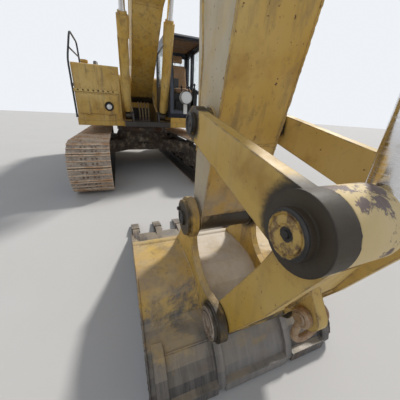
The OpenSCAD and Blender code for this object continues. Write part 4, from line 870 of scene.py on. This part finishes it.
class Pad:
    """Padded part of the seat; size is (depth, width, thickness) in metres."""

    def __init__(self, name, centre, size, tilt, crown, voxel, channels):
        self.half = [v / 2 for v in size]
        self.place = Matrix.Translation(centre) @ Matrix.Rotation(tilt, 4, "Y")
        self.channels = channels
        bm = bmesh.new()
        bmesh.ops.create_cube(bm, size=2)
        bmesh.ops.subdivide_edges(bm, edges=bm.edges[:], cuts=12, use_grid_fill=True)
        for v in bm.verts:
            v.co = self.crowned(*v.co, crown)
        bmesh.ops.transform(bm, matrix=self.place, verts=bm.verts[:])
        self.obj = piece(name, bm, "cloth", "upper", 180)
        even = self.obj.modifiers.new("even", "REMESH")
        even.mode, even.voxel_size = "VOXEL", voxel
        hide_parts("seat")

    def crowned(self, x, y, z, crown):
        """A point of the cube moved onto the pad: rounded, pulled in at its sides and crowned on top."""
        norm = max((abs(x) ** 7 + abs(y) ** 7 + abs(z) ** 3.2) ** (1 / 5.5), 1e-6)
        x, y, z = x / norm, y / norm, z / norm
        pull = 0.035 * ((1 - x * x) if abs(y) > abs(x) else (1 - y * y))
        if abs(y) > 0.7:
            y *= 1 - pull
        if abs(x) > 0.7:
            x *= 1 - pull
        if z > 0:
            z *= 0.72 + crown * (1 - x * x) * (1 - y * y)
        # A little small, because the cover swells
        hx, hy, hz = self.half
        return Vector((x * hx * 0.975, y * hy * 0.975, z * hz * 0.93))

    def settle(self):
        """Applies what is on the modifier stack."""
        graph = bpy.context.evaluated_depsgraph_get()
        me = bpy.data.meshes.new_from_object(self.obj.evaluated_get(graph))
        self.obj.modifiers.clear()
        self.obj.data = me
        me.shade_smooth()

    def sew(self):
        """Sewn channels across the top, one subdivision, and piping round the edge."""
        hx, hy, hz = self.half
        back = self.place.inverted()
        for v in self.obj.data.vertices:
            x, y, z = back @ v.co
            if z > 0:
                drop = sum(math.exp(-((x / hx - c) / 0.045) ** 2) for c in self.channels)
                drop *= max(0, 1 - abs(y / hy) ** 4)
                v.co = self.place @ Vector((x, y, z - 0.15 * hz * drop))
        sub = self.obj.modifiers.new("smooth", "SUBSURF")
        sub.levels = sub.render_levels = 1
        me = self.obj.data
        tree = BVHTree.FromPolygons([v.co for v in me.vertices], [p.vertices for p in me.polygons])
        middle = self.place @ Vector((0, 0, hz * 0.36))
        loop = []
        for c, s in around(72):
            norm = (abs(c) ** 7 + abs(s) ** 7) ** (1 / 7)
            outside = self.place @ Vector((c / norm * hx * 1.4, s / norm * hy * 1.4, hz * 0.36))
            hit = tree.ray_cast(outside, (middle - outside).normalized())[0]
            if hit:
                loop.append(hit)
        bm = bmesh.new()
        tube(bm, loop, 0.0045, 6, closed=True)
        piece(self.obj.name + "_seam", bm, "seam", "upper")


def swell(objs, cap, frames=20):
    """Presses the covers out from inside, as cloth, no point further than cap."""
    for obj in objs:
        mod = obj.modifiers.new("swell", "CLOTH")
        mod.settings.use_pressure, mod.settings.uniform_pressure_force = True, 4.0
        mod.settings.effector_weights.gravity = 0.0
        mod.settings.quality = 5
        mod.collision_settings.use_collision = False
        mod.point_cache.frame_start, mod.point_cache.frame_end = 1, frames
    for f in range(1, frames + 1):
        bpy.context.scene.frame_set(f)
    graph = bpy.context.evaluated_depsgraph_get()
    swollen = {obj: [v.co.copy() for v in obj.evaluated_get(graph).data.vertices] for obj in objs}
    for obj in objs:
        obj.modifiers.clear()
        for v, co in zip(obj.data.vertices, swollen[obj]):
            d = co - v.co
            v.co = v.co + d * min(1.0, cap / max(d.length, 1e-9))
    bpy.context.scene.frame_set(1)


def at_seat(x, z, dy=0):
    return P(SEAT_X + x, SEAT_Y + dy, SEAT_Z + z)


pads = [
    Pad("seat_cushion", at_seat(160, 62), (0.48, 0.49, 0.125), -math.atan2(6, 380), 0.30, 0.008,
        (-0.35, 0.05, 0.45)),
    Pad("seat_back", at_seat(-157, 405), (0.60, 0.47, 0.110), -math.atan2(510, -115), 0.34, 0.008,
        (-0.55, -0.15, 0.25, 0.62)),
    Pad("head_rest", at_seat(-243, 814), (0.175, 0.265, 0.078), -math.atan2(112, -26), 0.3, 0.006, (0.0,)),
]
for pad in pads:
    pad.settle()
swell([pad.obj for pad in pads], 0.012)
for pad in pads:
    pad.sew()

bm = bmesh.new()
for s in SIDES:
    tube(bm, [at_seat(x, z, s * 70) for x, z in ((-213, 640), (-226, 700), (-236, 765))], 0.007, 10)
posts = piece("head_rest_posts", bm, "chrome", "upper")
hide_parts("seat")

# Bellows under the joysticks
FOLDS = 5
bellows = [(0, 0), (0.044, 0)]
for i in range(FOLDS):
    bellows += [(0.043 - 0.005 * i, 0.004 + 0.011 * i), (0.036 - 0.005 * i, 0.009 + 0.011 * i)]
bellows += [(0.017, 0.060), (0, 0.060)]
bm = bmesh.new()
for s in SIDES:
    turned(bm, at_seat(250, 110, s * 320), Z, bellows, 20)
piece("lever_boots", bm, "rubber", "upper")

# Roof lining, seen through the open front: it sags between its battens
ROOF_X, ROOF_Y, ROOF_Z, ROOF_LEN, ROOF_W, ROOF_STEPS = -330, 566, 2893, 1170, 768, 12
bm = bmesh.new()
rows = []
for i in range(ROOF_STEPS + 1):
    x = ROOF_X + i * ROOF_LEN / ROOF_STEPS
    sag = 9 * abs(math.sin(i * 1.9))
    rows.append([bm.verts.new(P(x, ROOF_Y + j * ROOF_W / ROOF_STEPS,
                                ROOF_Z - sag * math.sin(math.pi * j / ROOF_STEPS)))
                 for j in range(ROOF_STEPS + 1)])
for a, b in zip(rows, rows[1:]):
    for j in range(ROOF_STEPS):
        bm.faces.new([a[j], a[j + 1], b[j + 1], b[j]])
roof = piece("roof_lining", bm, "lining", "upper", 180)
roof.modifiers.new("thick", "SOLIDIFY").thickness = 0.012

# Rubber seals round the open front and the window of the cab's left side
bm = bmesh.new()
front = [P(x, y, z) for x, y, z in ((1292, 575, 1450), (1292, 575, 1905), (1090, 575, 2795),
                                    (1090, 1325, 2795), (1292, 1325, 1905), (1292, 1325, 1450))]
tube(bm, outline(front, 0.06), 0.009, 6, closed=True)
window = [P(x, 1402, z) for x, z in ((-310, 2010), (10, 2010), (10, 2780), (-310, 2780))]
tube(bm, outline(window, 0.1), 0.009, 6, closed=True)
piece("window_seals", bm, "rubber", "upper")

# Lamp glasses, and the work lamp's rim
for name, centre, r in (("work_lamp_glass", P(LAMP_X + 91, LAMP_Y, LAMP_Z), 0.120),
                        ("head_lamp_glass", P(1179, -745, 1442.5), 0.050)):
    bm = bmesh.new()
    turned(bm, centre, X, [(0, -0.001), (r, -0.001), (r, 0.002), (r * 0.9, 0.006), (r * 0.6, 0.010),
                           (r * 0.3, 0.012), (0, 0.0125)], 36)
    piece(name, bm, "lens", "upper")
bm = bmesh.new()
ring_weld(bm, P(LAMP_X + 102, LAMP_Y, LAMP_Z), X, 0.128, 0.007)
piece("work_lamp_rim", bm, "dark", "upper")


# ---------------------------------------------------------------- fittings of hoses and panels

# A nut on the deck and a ferrule on the hose, at each of the four hoses
bm = bmesh.new()
for y in (-102, -34, 34, 102):
    turned(bm, P(700, y, 1180), Z, [(0, -0.001), (0.030, -0.001), (0.030, 0.012), (0.023, 0.016),
                                    (0.023, 0.050), (0.019, 0.056), (0, 0.056)], 6)
    turned(bm, P(696, y, 1236), (-0.06, 0, 1),
           [(0, 0), (0.0235, 0), (0.0235, 0.030), (0.021, 0.034), (0, 0.034)], 16)
piece("hose_fittings", bm, "bolt", "upper")

# Bolts of the handrail's foot, the tank's front, its side straps and its top: radius, axis, places
bm = bmesh.new()
for r, axis, places in (
        (0.007, (0, -1, 0), [(1120, -1377, z + dz) for z in (1250, 1805) for dz in (-16, 16)]),
        (0.009, (1, 0, 0), [(1188, y, 1202) for y in (-1290, -1080, -880, -700, -570)]),
        (0.010, (0, -1, 0), [(x, -1330, z) for z in (1260, 1560, 1860, 2110) for x in (100, 158)]),
        (0.012, (0, 0, 1), [(x, y, 2175) for x in (400, 900) for y in (-1260, -600)])):
    for place in places:
        bolt(bm, P(*place), axis, r)
piece("panel_bolts", bm, "bolt", "upper", 0)
